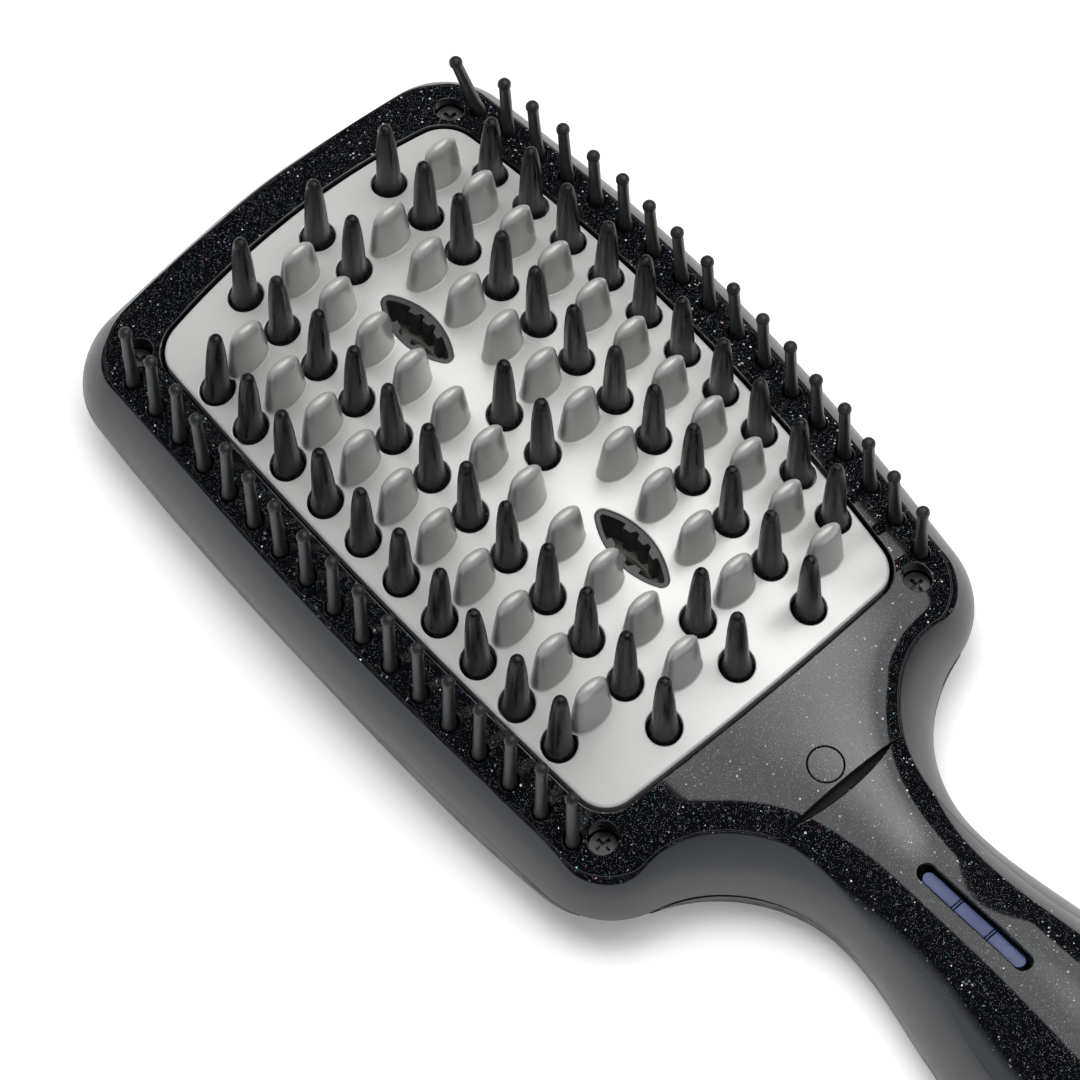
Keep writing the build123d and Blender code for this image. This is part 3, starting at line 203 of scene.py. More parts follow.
def beyond(centre, through, radius):
    reach = math.dist(centre, through)
    return tuple(c + (t - c)*radius/reach for c, t in zip(centre, through))


def arc_chain(stops, centres, counts):
    """Points from stop to stop along arcs round the given centres, without the last stop."""
    points = []
    for start, end, centre, count in zip(stops, stops[1:], centres, counts):
        begin, finish = (math.atan2(y - centre[1], x - centre[0]) for x, y in (start, end))
        turn = (finish - begin + math.pi) % (2*math.pi) - math.pi
        r = math.dist(centre, start)
        points += [(centre[0] + r*math.cos(begin + turn*i/count),
                    centre[1] + r*math.sin(begin + turn*i/count)) for i in range(count)]
    return points


def half_outline(side_in, far_in, corner_in, throat_in, grip_in):
    """Right half of the body's outline from the far end to the heel."""
    side = side_half - side_in
    far = head_reach - far_in
    corner = corner_radius - corner_in
    side_r = bow_radius(side, corner_x, corner_y, corner)
    far_r = bow_radius(far, corner_y, corner_x, corner)
    run = neck_reach - corner_y
    spare = corner_radius - neck_half
    hollow_x = (corner_x**2 + run**2 - spare**2)/(2*(corner_x + spare))
    hollow_r = math.hypot(hollow_x - corner_x, run) - corner
    far_centre = (corner_x, head_y + corner_y)
    near_centre = (corner_x, head_y - corner_y)
    side_centre = (side - side_r, head_y)
    end_centre = (0, head_y + far - far_r)
    hollow_centre = (hollow_x, along(neck_reach))
    neck = hollow_x - hollow_r
    stops = ((0, head_y + far), beyond(end_centre, far_centre, far_r),
             beyond(side_centre, far_centre, side_r), beyond(side_centre, near_centre, side_r),
             beyond(near_centre, hollow_centre, corner), (neck, along(neck_reach)))
    points = arc_chain(stops, (end_centre, far_centre, side_centre, near_centre, hollow_centre),
                       (16, 14, 44, 16, 24))
    throat, grip = throat_half - throat_in, grip_half - grip_in
    heel, heel_y = butt_half - grip_in, butt_y + butt_round
    first, second = throat_reach - neck_reach, grip_reach - throat_reach
    swell = 3*((throat - neck)/first**2 + (grip - throat)/second**2)/(2/first + 2/second)
    lines = ((neck_reach, neck, 0), (throat_reach, throat, swell), (grip_reach, grip, 0),
             (head_y - heel_y, heel, 0))
    for (start, x, slope), (end, x_end, slope_end), count in zip(lines, lines[1:], (14, 24, 26)):
        span = end - start
        points += [(eased(x, slope, x_end, slope_end, span, t), along(start + span*t))
                   for t in (i/count for i in range(count))]
    for i in range(21):
        turn = i*math.pi/40
        points.append((heel*math.cos(turn), heel_y - (butt_round - grip_in)*math.sin(turn)))
    return points


def lean(z, belly, ease):
    """How far a wall has come in at height z above its widest line."""
    return max(0.0, z - belly)**2/(2*ease)


def level_half(z):
    """Half outline of the walls at height z."""
    return half_outline(*(lean(z, *wall) for wall in (
        (side_belly, side_ease), (corner_belly, far_ease), (corner_belly, corner_ease),
        (grip_belly, throat_ease), (grip_belly, grip_ease))))


def rim_inset(half, belly, ease, height_at):
    """How far a wall has come in where it meets the top."""
    inset = 0.0
    for _ in range(12):
        inset = lean(height_at(half - inset), belly, ease)
    return inset


side_rim = rim_inset(side_half, side_belly, side_ease, lambda x: top_z(x, head_y))
far_rim = rim_inset(head_reach, corner_belly, far_ease, lambda y: top_z(0, head_y + y))
corner_rim = rim_inset(corner_radius, corner_belly, corner_ease,
                       lambda r: top_z(corner_x + 0.7*r, head_y - corner_y - 0.7*r))


def head_loop(inset, limit):
    """Outline of the head inside its rim, ended across the neck at y = limit(x)."""
    corner = corner_rim + inset
    half = [pulled_in(x, y, inset) for x, y in
            half_outline(side_rim + inset, far_rim + inset, corner, corner, corner)]
    kept = [half[0]]
    for before, after in zip(half, half[1:]):
        over, under = before[1] - limit(before[0]), after[1] - limit(after[0])
        if under < 0:
            share = over/(over - under)
            kept.append(tuple(b + (a - b)*share for b, a in zip(before, after)))
            break
        kept.append(after)
    end_x = kept[-1][0]
    across = [end_x*(i/15 - 1) for i in range(1, 30)]
    return [(-x, y) for x, y in kept] + [(x, limit(x)) for x in across] + kept[:0:-1]


def groove_edge(x):
    """Handle side of the groove: bowed towards the handle."""
    straight = along(panel_end + seam)
    if abs(x) >= groove_half:
        return straight
    depth = groove_reach - panel_end - seam
    radius = (groove_half**2 + depth**2)/(2*depth)
    return straight - (math.sqrt(radius**2 - x**2) - radius + depth)


def four_quarters(stops, centres, counts, y):
    """Closed loop round (0, y) from the arcs of its first quarter."""
    quarter = arc_chain(stops, centres, counts) + [stops[-1]]
    upper = quarter + [(-px, py) for px, py in quarter[-2::-1]]
    lower = [(px, -py) for px, py in upper[-2:0:-1]]
    return [(px, y + py) for px, py in upper + lower]


def plate_loop(grow):
    """Outline of the heated plate, grown on all sides."""
    half, reach, corner = plate_half + grow, plate_reach + grow, plate_corner + grow
    side_r = bow_radius(half, plate_corner_x, plate_corner_y, corner)
    end_r = bow_radius(reach, plate_corner_y, plate_corner_x, corner)
    corner_centre = (plate_corner_x, plate_corner_y)
    side_centre, end_centre = (half - side_r, 0), (0, reach - end_r)
    stops = ((half, 0), beyond(side_centre, corner_centre, side_r),
             beyond(end_centre, corner_centre, end_r), (0, reach))
    return four_quarters(stops, (side_centre, corner_centre, end_centre), (26, 12, 16), head_y)


def circle_loop(x, y, radius, count):
    return [(x + radius*math.cos(2*math.pi*i/count), y + radius*math.sin(2*math.pi*i/count))
            for i in range(count)]


def slot_loop(y, length, width, count=12):
    """Stadium that runs along Y on the middle line."""
    r, straight = width/2, (length - width)/2
    top = [(r*math.cos(math.pi*i/count), y + straight + r*math.sin(math.pi*i/count))
           for i in range(count + 1)]
    loop = []
    for side in (top, [(-px, 2*y - py) for px, py in top]):
        loop += side
        (x, start), end = side[-1], 2*y - side[0][1]
        loop += [(x, start + (end - start)*i/16) for i in range(1, 16)]
    return loop


def bar_loop(half, low, high):
    """Rectangle on the middle line, from low to high along Y."""
    return [(-half, low), (half, low), (half, high), (-half, high)]


def eye_loop(y, grow):
    """Eye-shaped outline of a steam outlet."""
    half_wide, half_long, tip = outlet_width/2 + grow, outlet_length/2 + grow, outlet_tip + grow
    flank = bow_radius(half_wide, 0, half_long - tip, tip)
    centres = ((half_wide - flank, 0), (0, half_long - tip))
    stops = ((half_wide, 0), beyond(*centres, flank), (0, half_long))
    return four_quarters(stops, centres, (30, 6), y)


def offset_loop(loop, distance):
    """Loop moved outwards (inwards if negative) with mitred corners.
    distance is one number, or one for each point."""
    steps = distance if isinstance(distance, list) else [distance]*len(loop)
    moved = []
    for i, ((x, y), step) in enumerate(zip(loop, steps)):
        before, after = loop[i - 1], loop[(i + 1) % len(loop)]
        first = Vector((y - before[1], before[0] - x)).normalized()
        second = Vector((after[1] - y, x - after[0])).normalized()
        shift = (first + second)/max(0.4, 1 + first.dot(second))*step
        moved.append((x + shift.x, y + shift.y))
    return moved


def encloses(loop, x, y):
    """True where a point lies inside a loop."""
    inside = False
    for (x0, y0), (x1, y1) in zip(loop, loop[1:] + loop[:1]):
        if (y0 > y) != (y1 > y) and x < x0 + (x1 - x0)*(y - y0)/(y1 - y0):
            inside = not inside
    return inside


# ---- Skins: surfaces made of patches with their own exact normals ----
def plan_tree(plan):
    """Search tree over plan points."""
    tree = KDTree(len(plan))
    for i, (x, y) in enumerate(plan):
        tree.insert((x, y, 0), i)
    tree.balance()
    return tree


class Skin:
    """Patches of one surface; the first side_faces of its faces are walls."""

    def __init__(self):
        self.points, self.normals, self.faces = [], [], []
        self.side_faces = 0

    def patch(self, points, normals, faces):
        start = len(self.points)
        self.points += points
        self.normals += normals
        self.faces += [tuple(start + i for i in face) for face in faces]

    def band(self, rows, side, first=None, last=None):
        """Closed strip through rows of points; side tells which way it faces."""
        count = len(rows[0])
        points, normals, faces = [], [], []
        for r, row in enumerate(rows):
            above, below = rows[max(r - 1, 0)], rows[min(r + 1, len(rows) - 1)]
            for i, point in enumerate(row):
                normal = (below[i] - above[i]).cross(row[(i + 1) % count] - row[i - 1])*side
                if normal.length < 1e-9:
                    normal = Vector((0, 0, 1))
                points.append(point)
                normals.append(normal.normalized())
        if first:
            normals[:count] = first
        if last:
            normals[-count:] = last
        for r in range(len(rows) - 1):
            for i in range(count):
                a, b = r*count + i, r*count + (i + 1) % count
                quad = (a, a + count, b + count, b)
                faces.append(quad if side > 0 else quad[::-1])
        self.patch(points, normals, faces)

    def rolled_edge(self, loop, radius, depth, height, side, floor=None):
        """Rounds a loop over and down; side is 1 round the outside, -1 round a hole.
        Gives back the loop where the open surface starts; floor is a ledge's width."""
        sizes = radius if isinstance(radius, list) else [radius]*len(loop)
        rows = []
        for i in range(6):
            turn = math.radians(18*i)
            moved = offset_loop(loop, [side*size*(math.sin(turn) - 1) for size in sizes])
            rows.append([Vector((x, y, height(x, y) - size*(1 - math.cos(turn))))
                         for (x, y), size in zip(moved, sizes)])
        start = [(p.x, p.y) for p in rows[0]]
        lead = [normal_of(height, x, y) for x, y in start]

        def lowered(edge):
            return [Vector((x, y, height(x, y) - depth)) for x, y in edge]

        foot = lowered(loop)
        self.band(rows + [foot], side, first=lead)
        if floor:
            self.band([foot, lowered(offset_loop(loop, -side*floor))], side, first=lead)
        return start

    def pad(self, loop, edge, height, spacing):
        """Small raised surface with a rolled edge round it."""
        self.sheet(self.rolled_edge(loop, *edge, height, 1), [], height, spacing)

    def sheet(self, outer, holes, height, spacing, rings=()):
        """Open surface over a plan area, its inside points on an even grid, after
        rows of points at the given distances inside the outline."""
        loops = [outer] + holes
        plan = [p for loop in loops for p in loop]
        edges, start = [], 0
        for loop in loops:
            edges += [(start + i, start + (i + 1) % len(loop)) for i in range(len(loop))]
            start += len(loop)
        for distance in rings:
            tree = plan_tree(plan)
            plan += [p for p in offset_loop(outer, -distance) if tree.find((*p, 0))[2] > 0.3]
        tree = plan_tree(plan)
        xs, ys = zip(*outer)
        y, row = min(ys), 0
        while y < max(ys):
            x = min(xs) + (row % 2)*spacing/2
            while x < max(xs):
                if tree.find((x, y, 0))[2] > 0.55*spacing:
                    plan.append((x, y))
                x += spacing
            y += spacing*0.87
            row += 1
        found, _, faces, _, _, _ = delaunay_2d_cdt([Vector(p) for p in plan], edges, [], 1, 1e-6)
        openings = [(hole, *map(min, zip(*hole)), *map(max, zip(*hole))) for hole in holes]
        kept = []
        for face in faces:
            x = sum(found[i].x for i in face)/3
            y = sum(found[i].y for i in face)/3
            if not any(x0 < x < x1 and y0 < y < y1 and encloses(hole, x, y)
                       for hole, x0, y0, x1, y1 in openings):
                kept.append(face)
        used = sorted({i for face in kept for i in face})
        place = {i: k for k, i in enumerate(used)}
        points = [Vector((*found[i], height(*found[i]))) for i in used]
        normals = [normal_of(height, p.x, p.y) for p in points]
        self.patch(points, normals, [tuple(place[i] for i in face) for face in kept])

    def piece(self, name, finish, side_finish=None):
        """Welds the patches into one object, each with its own normals."""
        places, index, kept = {}, [], []
        for p in self.points:
            key = tuple(round(c, 4) for c in p)
            if key not in places:
                places[key] = len(kept)
                kept.append(p*MM)
            index.append(places[key])
        faces, corners, sides = [], [], []
        for count, face in enumerate(self.faces):
            joined = {}
            for i in face:
                joined.setdefault(index[i], i)
            if len(joined) > 2:
                faces.append(list(joined))
                sides.append(int(count < self.side_faces))
                corners += [self.normals[i] for i in joined.values()]
        mesh = bpy.data.meshes.new(name)
        mesh.from_pydata(kept, [], faces)
        mesh.shade_smooth()
        mesh.normals_split_custom_set(corners)
        facing = [0.0]*len(kept)
        for i, normal in zip(index, self.normals):
            facing[i] = part_way(normal.z, 0.72, 0.16)
        mesh.attributes.new("facing_up", "FLOAT", "POINT").data.foreach_set("value", facing)
        piece = finished(name, mesh, finish)
        if side_finish:
            mesh.materials.append(side_finish)
            mesh.polygons.foreach_set("material_index", sides)
        return piece


def placed(name, data):
    """Object of a mesh, lamp or camera, put into the scene."""
    thing = bpy.data.objects.new(name, data)
    bpy.context.scene.collection.objects.link(thing)
    return thing


def finished(name, mesh, finish):
    """Object of a mesh in one finish."""
    mesh.materials.clear()
    mesh.materials.append(finish)
    return placed(name, mesh)


def joined_copy(node, name, finish):
    """Smoothly shaded copy of a frame node's surface, with its edges kept sharp."""
    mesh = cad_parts[node].data.copy()
    mesh.name = name
    work = bmesh.new()
    work.from_mesh(mesh)
    bmesh.ops.remove_doubles(work, verts=work.verts, dist=2e-6)
    work.to_mesh(mesh)
    work.free()
    mesh.shade_smooth()
    mesh.set_sharp_from_angle(angle=math.radians(35))
    return finished(name, mesh, finish)


# ---- Finishes ----
class Wiring:
    """Nodes of one tree, each input fed with a constant or a socket."""

    def __init__(self, tree):
        self.nodes, self.link = tree.nodes, tree.links.new

    def feed(self, socket, value):
        if isinstance(value, bpy.types.NodeSocket):
            self.link(value, socket)
        else:
            socket.default_value = value

    def fill(self, node, **inputs):
        """Feeds a node's inputs, whose names have _ for a space."""
        for name, value in inputs.items():
            self.feed(node.inputs[name.replace("_", " ")], value)
        return node

    def add(self, kind, **inputs):
        return self.fill(self.nodes.new(kind), **inputs)

    def maths(self, mode, *values, kind="ShaderNodeMath", output=0):
        """Result of one sum."""
        node = self.nodes.new(kind)
        node.operation = mode
        for socket, value in zip(node.inputs, values):
            self.feed(socket, value)
        return node.outputs[output]

    def vector_maths(self, mode, *values, output="Vector"):
        return self.maths(mode, *values, kind="ShaderNodeVectorMath", output=output)

    def span(self, value, low, high, out_low, out_high, shape="LINEAR"):
        """Value carried over from one range to another."""
        node = self.add("ShaderNodeMapRange", Value=value, From_Min=low, From_Max=high,
                        To_Min=out_low, To_Max=out_high)
        node.interpolation_type = shape
        return node.outputs["Result"]

    def ramp(self, value, stops, shape="LINEAR"):
        """Colour looked up between stops."""
        node = self.add("ShaderNodeValToRGB", Fac=value)
        node.color_ramp.interpolation = shape
        elements = node.color_ramp.elements
        for i, (at, colour) in enumerate(stops):
            stop = elements[i] if i < 2 else elements.new(at)
            stop.position, stop.color = at, (*colour, 1)
        return node.outputs["Color"]


class Finish(Wiring):
    """One shader with its colour, gloss and relief worked out on the piece itself."""

    def __init__(self, name, colour, roughness, metallic=0.0):
        self.material = bpy.data.materials.new(name)
        self.material.use_nodes = True
        self.material.diffuse_color = (*colour, 1)
        super().__init__(self.material.node_tree)
        self.shader = self.nodes["Principled BSDF"]
        self.look(Base_Color=(*colour, 1), Roughness=roughness, Metallic=metallic)
        self.place = self.add("ShaderNodeTexCoord").outputs["Object"]

    def look(self, **inputs):
        self.fill(self.shader, **inputs)

    def speckle(self, scale, detail=3.0):
        return self.add("ShaderNodeTexNoise", Vector=self.place, Scale=scale, Detail=detail,
                        Roughness=0.6).outputs["Fac"]

    def blend(self, share, low, high):
        mix = self.nodes.new("ShaderNodeMix")
        mix.data_type = "RGBA"
        self.feed(mix.inputs[0], share)
        for socket, value in ((mix.inputs[6], low), (mix.inputs[7], high)):
            self.feed(socket, (*value, 1) if isinstance(value, tuple) else value)
        return mix.outputs[2]

    def tint(self, scale, low, high):
        share = self.span(self.speckle(scale), 0.35, 0.65, 0, 1)
        self.look(Base_Color=self.blend(share, low, high))

    def gloss(self, scale, low, high):
        self.look(Roughness=self.span(self.speckle(scale), 0.3, 0.7, low, high))

    def relief(self, height, strength):
        bump = self.add("ShaderNodeBump", Height=height, Strength=strength, Distance=0.0001)
        self.look(Normal=bump.outputs["Normal"])


def moulded(name, colour, other, roughness, scale, metallic=0.0, relief=0.15):
    """Moulded or metal finish with slight variation of colour, gloss and surface."""
    finish = Finish(name, colour, roughness, metallic)
    finish.tint(scale, colour, other)
    finish.gloss(scale*0.6, max(0.02, roughness - 0.06), roughness + 0.06)
    finish.relief(finish.speckle(scale*3), relief)
    return finish.material


def flake_layer(finish, size, bare):
    """Flakes of one size: where they lie, their chance tone and their chance tilt."""
    cells = finish.add("ShaderNodeTexVoronoi", Vector=finish.place, Scale=1/size)
    draw = finish.add("ShaderNodeSeparateColor", Color=cells.outputs["Color"])
    disc = finish.span(cells.outputs["Distance"], 0.3, 0.36, 1, 0)
    chosen = finish.span(draw.outputs["Red"], bare, bare + 0.01, 0, 1)
    return (finish.maths("MULTIPLY", disc, chosen), draw.outputs["Green"],
            cells.outputs["Color"])


def glitter_black():
    """Gloss black plastic with fine silver, teal and rose flakes."""
    finish = Finish("Glitter black", (0.006, 0.0065, 0.009), 0.1)
    coarse, tone, tilt = flake_layer(finish, 0.00052, 0.94)
    fine, dust = (flake_layer(finish, *layer)[0] for layer in ((0.00027, 0.96), (0.00015, 0.74)))
    either = finish.maths("MAXIMUM", finish.maths("MAXIMUM", coarse, fine),
                          finish.maths("MULTIPLY", dust, 0.28))
    facing = finish.add("ShaderNodeAttribute")
    facing.attribute_name = "facing_up"
    flake = finish.maths("MULTIPLY", either, facing.outputs["Fac"])
    metal = finish.ramp(tone, (
        (0.0, (0.75, 0.77, 0.8)), (0.62, (0.3, 0.6, 0.64)), (0.74, (0.4, 0.46, 0.74)),
        (0.84, (0.74, 0.4, 0.5)), (0.92, (0.78, 0.7, 0.54))), "CONSTANT")
    surface = finish.add("ShaderNodeNewGeometry").outputs["Normal"]
    tipped = finish.vector_maths("MULTIPLY_ADD", tilt, (1.5, 1.5, 0.4), (-0.75, -0.75, -0.2))
    spread = finish.add("ShaderNodeCombineXYZ", X=flake, Y=flake, Z=flake).outputs[0]
    turned = finish.vector_maths("MULTIPLY_ADD", tipped, spread, surface)
    finish.look(Base_Color=finish.blend(flake, (0.0028, 0.003, 0.004), metal),
                Metallic=flake, Roughness=finish.span(flake, 0, 1, 0.085, 0.2),
                Normal=finish.vector_maths("NORMALIZE", turned),
                Coat_Weight=1.0, Coat_Roughness=0.05, Coat_IOR=1.48)
    return finish.material


def satin_black():
    """The same plastic on the side walls, smoother and duller."""
    finish = Finish("Satin black", (0.005, 0.0055, 0.007), 0.3)
    finish.tint(500, (0.004, 0.0045, 0.006), (0.007, 0.0075, 0.0095))
    finish.gloss(300, 0.27, 0.34)
    finish.look(IOR=1.85)
    return finish.material


def silver_paint(name, low, high):
    """Warm silver lacquer with a very fine metallic grain."""
    finish = Finish(name, (0.6, 0.595, 0.58), 0.3, 0.3)
    grain = finish.span(finish.speckle(9000, detail=1.0), 0.3, 0.7, 0, 1)
    warm = [(tone, 0.993*tone, 0.97*tone) for tone in (low, high)]
    finish.look(Base_Color=finish.blend(grain, *warm))
    finish.gloss(250, 0.28, 0.32)
    return finish.material


def drawn_charcoal():
    """Charcoal nylon with faint streaks drawn along each bristle."""
    finish = Finish("Bristle charcoal", (0.012, 0.012, 0.013), 0.36)
    stretch = finish.add("ShaderNodeMapping", Vector=finish.place, Scale=(1.0, 1.0, 0.05))
    streak = finish.add("ShaderNodeTexNoise", Vector=stretch.outputs["Vector"], Scale=1500.0,
                        Detail=2.0).outputs["Fac"]
    finish.look(Base_Color=finish.blend(finish.span(streak, 0.4, 0.6, 0, 1),
                                        (0.003, 0.003, 0.0032), (0.016, 0.016, 0.017)),
                Roughness=finish.span(streak, 0.3, 0.7, 0.2, 0.5), Specular_IOR_Level=0.34)
    finish.relief(streak, 0.35)
    return finish.material


def smoked_clear():
    """Smoked clear plastic of the tank."""
    finish = Finish("Smoked tank", (0.06, 0.065, 0.075), 0.08)
    finish.tint(60, (0.05, 0.055, 0.065), (0.075, 0.08, 0.09))
    finish.gloss(150, 0.05, 0.12)
    finish.look(Transmission_Weight=0.6, IOR=1.49)
    finish.relief(finish.speckle(40), 0.02)
    return finish.material


def grey(tone):
    return tone, tone, tone


body_black, body_side = glitter_black(), satin_black()
plate_silver = silver_paint("Plate silver", 0.6, 0.67)
# A darker copy of the plate's silver for the fins: painted shade, since fins and plate are one
# cast piece and the fin flanks face away from the lamps.
fin_shaded_silver = silver_paint("Fin silver painted shade", 0.42, 0.48)
bristle_dark = drawn_charcoal()
tank_smoke = smoked_clear()
edge_dark = moulded("Edge bristle charcoal", grey(0.012), (0.022, 0.022, 0.021), 0.42, 400,
                    relief=0.12)
outlet_grey = moulded("Outlet grey", grey(0.035), grey(0.055), 0.4, 500)
# Darker, matt copy of the body black for the shelf in the neck groove: painted shade, since the
# shelf is gloss black like the body.
shadow_black = moulded("Groove painted shade black", grey(0.004), grey(0.007), 0.8, 300)
lens_blue = moulded("Lens slate blue", (0.05, 0.062, 0.14), (0.065, 0.08, 0.17), 0.3, 300)
key_silver = moulded("Key silver", (0.5, 0.5, 0.51), (0.58, 0.58, 0.59), 0.28, 300,
                     metallic=0.7, relief=0.03)
key_black = moulded("Key black", (0.012, 0.012, 0.013), (0.02, 0.02, 0.021), 0.3, 300,
                    relief=0.04)
gland_black = moulded("Gland rubber", (0.014, 0.014, 0.015), (0.024, 0.024, 0.025), 0.5, 350,
                      relief=0.3)
pressed_steel = moulded("Pressed steel", (0.45, 0.45, 0.44), (0.55, 0.55, 0.54), 0.35, 200,
                        metallic=1.0)
screw_steel = moulded("Blackened screw steel", (0.06, 0.06, 0.062), (0.1, 0.1, 0.105), 0.32, 600,
                      metallic=0.9)
nylon = moulded("Natural nylon", (0.6, 0.58, 0.52), (0.68, 0.66, 0.6), 0.45, 250)
wire_sleeve = moulded("Wire sleeve", (0.35, 0.03, 0.02), (0.42, 0.05, 0.03), 0.45, 300)

# ---- Finishes of the frame nodes that stay ----
node_finishes = (
    (bristle_dark, "bristle_mat"), (pressed_steel, "heater_clamp", "thermal_fuse"),
    (screw_steel, "panel_screws", "neck_screw", "handle_screws", "clamp_screws", "board_screws"),
    (nylon, "thermistor", "steam_chamber", "pump"), (wire_sleeve, "mains_leads", "heater_leads"),
    (moulded("Seal rubber", grey(0.02), grey(0.035), 0.6, 400), "tank_seal"),
    (moulded("Heater ceramic", (0.72, 0.7, 0.66), (0.8, 0.78, 0.74), 0.5, 250), "heaters"),
    (moulded("Mica", (0.5, 0.42, 0.28), (0.62, 0.53, 0.36), 0.35, 180), "mica_sheets"),
    (moulded("Silicone hose", (0.55, 0.53, 0.5), (0.65, 0.63, 0.6), 0.5, 250), "steam_hose"),
    (moulded("Board green", (0.02, 0.12, 0.05), (0.03, 0.16, 0.07), 0.4, 400), "control_board"),
    (moulded("Switch black", grey(0.02), grey(0.03), 0.4, 500), "tact_switches"),
    (moulded("Lamp white", (0.75, 0.76, 0.78), (0.82, 0.83, 0.85), 0.3, 400), "indicator_leds"),
    (moulded("Terminal cream", (0.6, 0.57, 0.48), (0.68, 0.65, 0.56), 0.45, 300),
     "terminal_block"))
for finish, *nodes in node_finishes:
    for node in nodes:
        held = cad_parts[node]
        if held.material_slots:
            held.material_slots[0].material = finish
        else:
            held.data.materials.append(finish)

# ---- Front housing: walls, rolled rim, crowned handle ----
level_step = 0.5
level_halves = [level_half(level_step*i) for i in range(52)]


def wall_point(k, z):
    """Point k of the half outline at height z."""
    step = min(max(z/level_step, 0), len(level_halves) - 1.001)
    i = int(step)
    (x0, y0), (x1, y1) = level_halves[i][k], level_halves[i + 1][k]
    return Vector((x0 + (x1 - x0)*(step - i), y0 + (y1 - y0)*(step - i), z))


def rim_height(k):
    low, high = 9.0, 25.0
    for _ in range(24):
        z = (low + high)/2
        p = wall_point(k, z)
        if top_z(p.x, p.y) - shoulder_drop(p.y) > z:
            low = z
        else:
            high = z
    return low


rims = [wall_point(k, rim_height(k)) for k in range(len(level_halves[0]))]
rim_plan = [(-p.x, p.y) for p in rims] + [(p.x, p.y) for p in rims[-2:0:-1]]
rim_tree = plan_tree(rim_plan)


def rim_foot(x, y):
    """The rim's nearest point, and the direction in which the rim runs there."""
    _, i, _ = rim_tree.find((x, y, 0))
    here = Vector((x, y))
    feet = []
    for a, b in ((i - 1, i), (i, (i + 1) % len(rim_plan))):
        start, end = Vector(rim_plan[a]), Vector(rim_plan[b])
        run = end - start
        t = part_way((here - start).dot(run), 0, max(run.length_squared, 1e-9))
        feet.append((start + run*t, run))
    return min(feet, key=lambda foot: (here - foot[0]).length)


def pulled_in(x, y, least):
    """The point itself, or one inside the rim where it comes nearer than it may."""
    foot, run = rim_foot(x, y)
    inward = Vector((-run.y, run.x)).normalized()
    if inward.dot(Vector((0, head_y - 10)) - foot) < 0:
        inward = -inward
    if (Vector((x, y)) - foot).dot(inward) >= least or y > head_y - 40:
        return x, y
    return tuple(foot + inward*least)


def crown_z(x, y):
    """The crowned top with its shoulder rolled down to the rim."""
    near = 1 - (Vector((x, y)) - rim_foot(x, y)[0]).length/shoulder_width
    return top_z(x, y) - shoulder_drop(y)*max(0.0, near)**2


def front_rows():
    """Rows of the front wall from the parting line up and over the rolled rim."""
    inner_plan = offset_loop(rim_plan, -0.2)
    columns = []
    for k, rim in enumerate(rims):
        soft = 0.12 + 0.33*part_way(head_y - rim.y, 71, 18)
        up = (rim - wall_point(k, rim.z - 0.6)).normalized()
        # Point k of the plan lies on the left half, so its step inward is mirrored.
        inward = Vector(inner_plan[k]) - Vector(rim_plan[k])
        step = Vector((-inward.x, inward.y)).normalized()
        inner = Vector((rim.x + step.x*soft, rim.y + step.y*soft, 0))
        inner.z = crown_z(inner.x, inner.y)
        start = parting_z(rim.y) + seam
        shoulder = rim - up*soft
        column = [wall_point(k, start + (shoulder.z - start)*i/16) for i in range(16)]
        for i in range(6):
            t = i/5
            column.append(shoulder*(1 - t)**2 + rim*2*t*(1 - t) + inner*t*t)
        columns.append(column)
    return [[Vector((-p.x, p.y, p.z)) for p in half] + list(half[-2:0:-1])
            for half in zip(*columns)]


front = Skin()
rows = front_rows()
rim_loop = [(p.x, p.y) for p in rows[-1]]
front.band(rows, -1, last=[normal_of(crown_z, x, y) for x, y in rim_loop])
lip = [Vector((p.x*lip_narrow, along((head_y - p.y)*lip_short), p.z)) for p in rows[0]]
front.band([rows[0], lip], 1)
front.side_faces = len(front.faces)
pocket = head_loop(rim_lip - seam, groove_edge)
pocket_round = [0.08 + 0.3*part_way(along(panel_end) + 0.2, y, 0.8) for _, y in pocket]
holes = [front.rolled_edge(loop, *edge, crown_z, -1) for loop, edge in (
    (pocket, (pocket_round, pocket_deep)),
    (slot_loop(along(window_reach), window_length, window_width), window_edge),
    (circle_loop(0, along(heat_reach), heat_radius + slide_gap, 40), key_hole_edge),
    (circle_loop(0, along(power_reach), power_radius + slide_gap, 44), key_hole_edge),
    (slot_loop(along(steam_reach), steam_length + 2*slide_gap, 2*(steam_radius + slide_gap), 20),
     key_hole_edge))]
shoulder_rows = (0.5, 1.0, 1.6, 2.2, 2.9, 3.6, 4.3, 5.0)
front.sheet(rim_loop, holes, crown_z, 1.5, rings=shoulder_rows)
front_piece = front.piece("front_housing_shell", body_black, body_side)
# The groove shelf takes the matt dark black: painted shade in the neck groove.
shelf = Skin()
shelf.sheet(bar_loop(shelf_half, along(shelf_end), along(shelf_start)), [],
            lambda x, y: top_z(x, y) - shelf_sunk, 2.0)
shelf_piece = shelf.piece("groove_shelf", shadow_black)

# ---- Head panel ----
edge_bow = bow_radius(edge_mid, edge_end, edge_pitch*(edge_count - 1)/2, 0.0)
edge_places = []
for i in range(edge_count):
    y = (i - (edge_count - 1)/2)*edge_pitch
    edge_places += [(side*(edge_mid - sag(edge_bow, y)), head_y + y) for side in (-1, 1)]
screw_places = [(x, head_y + y) for x in (-screw_x, screw_x) for y in (-screw_y, screw_y)]

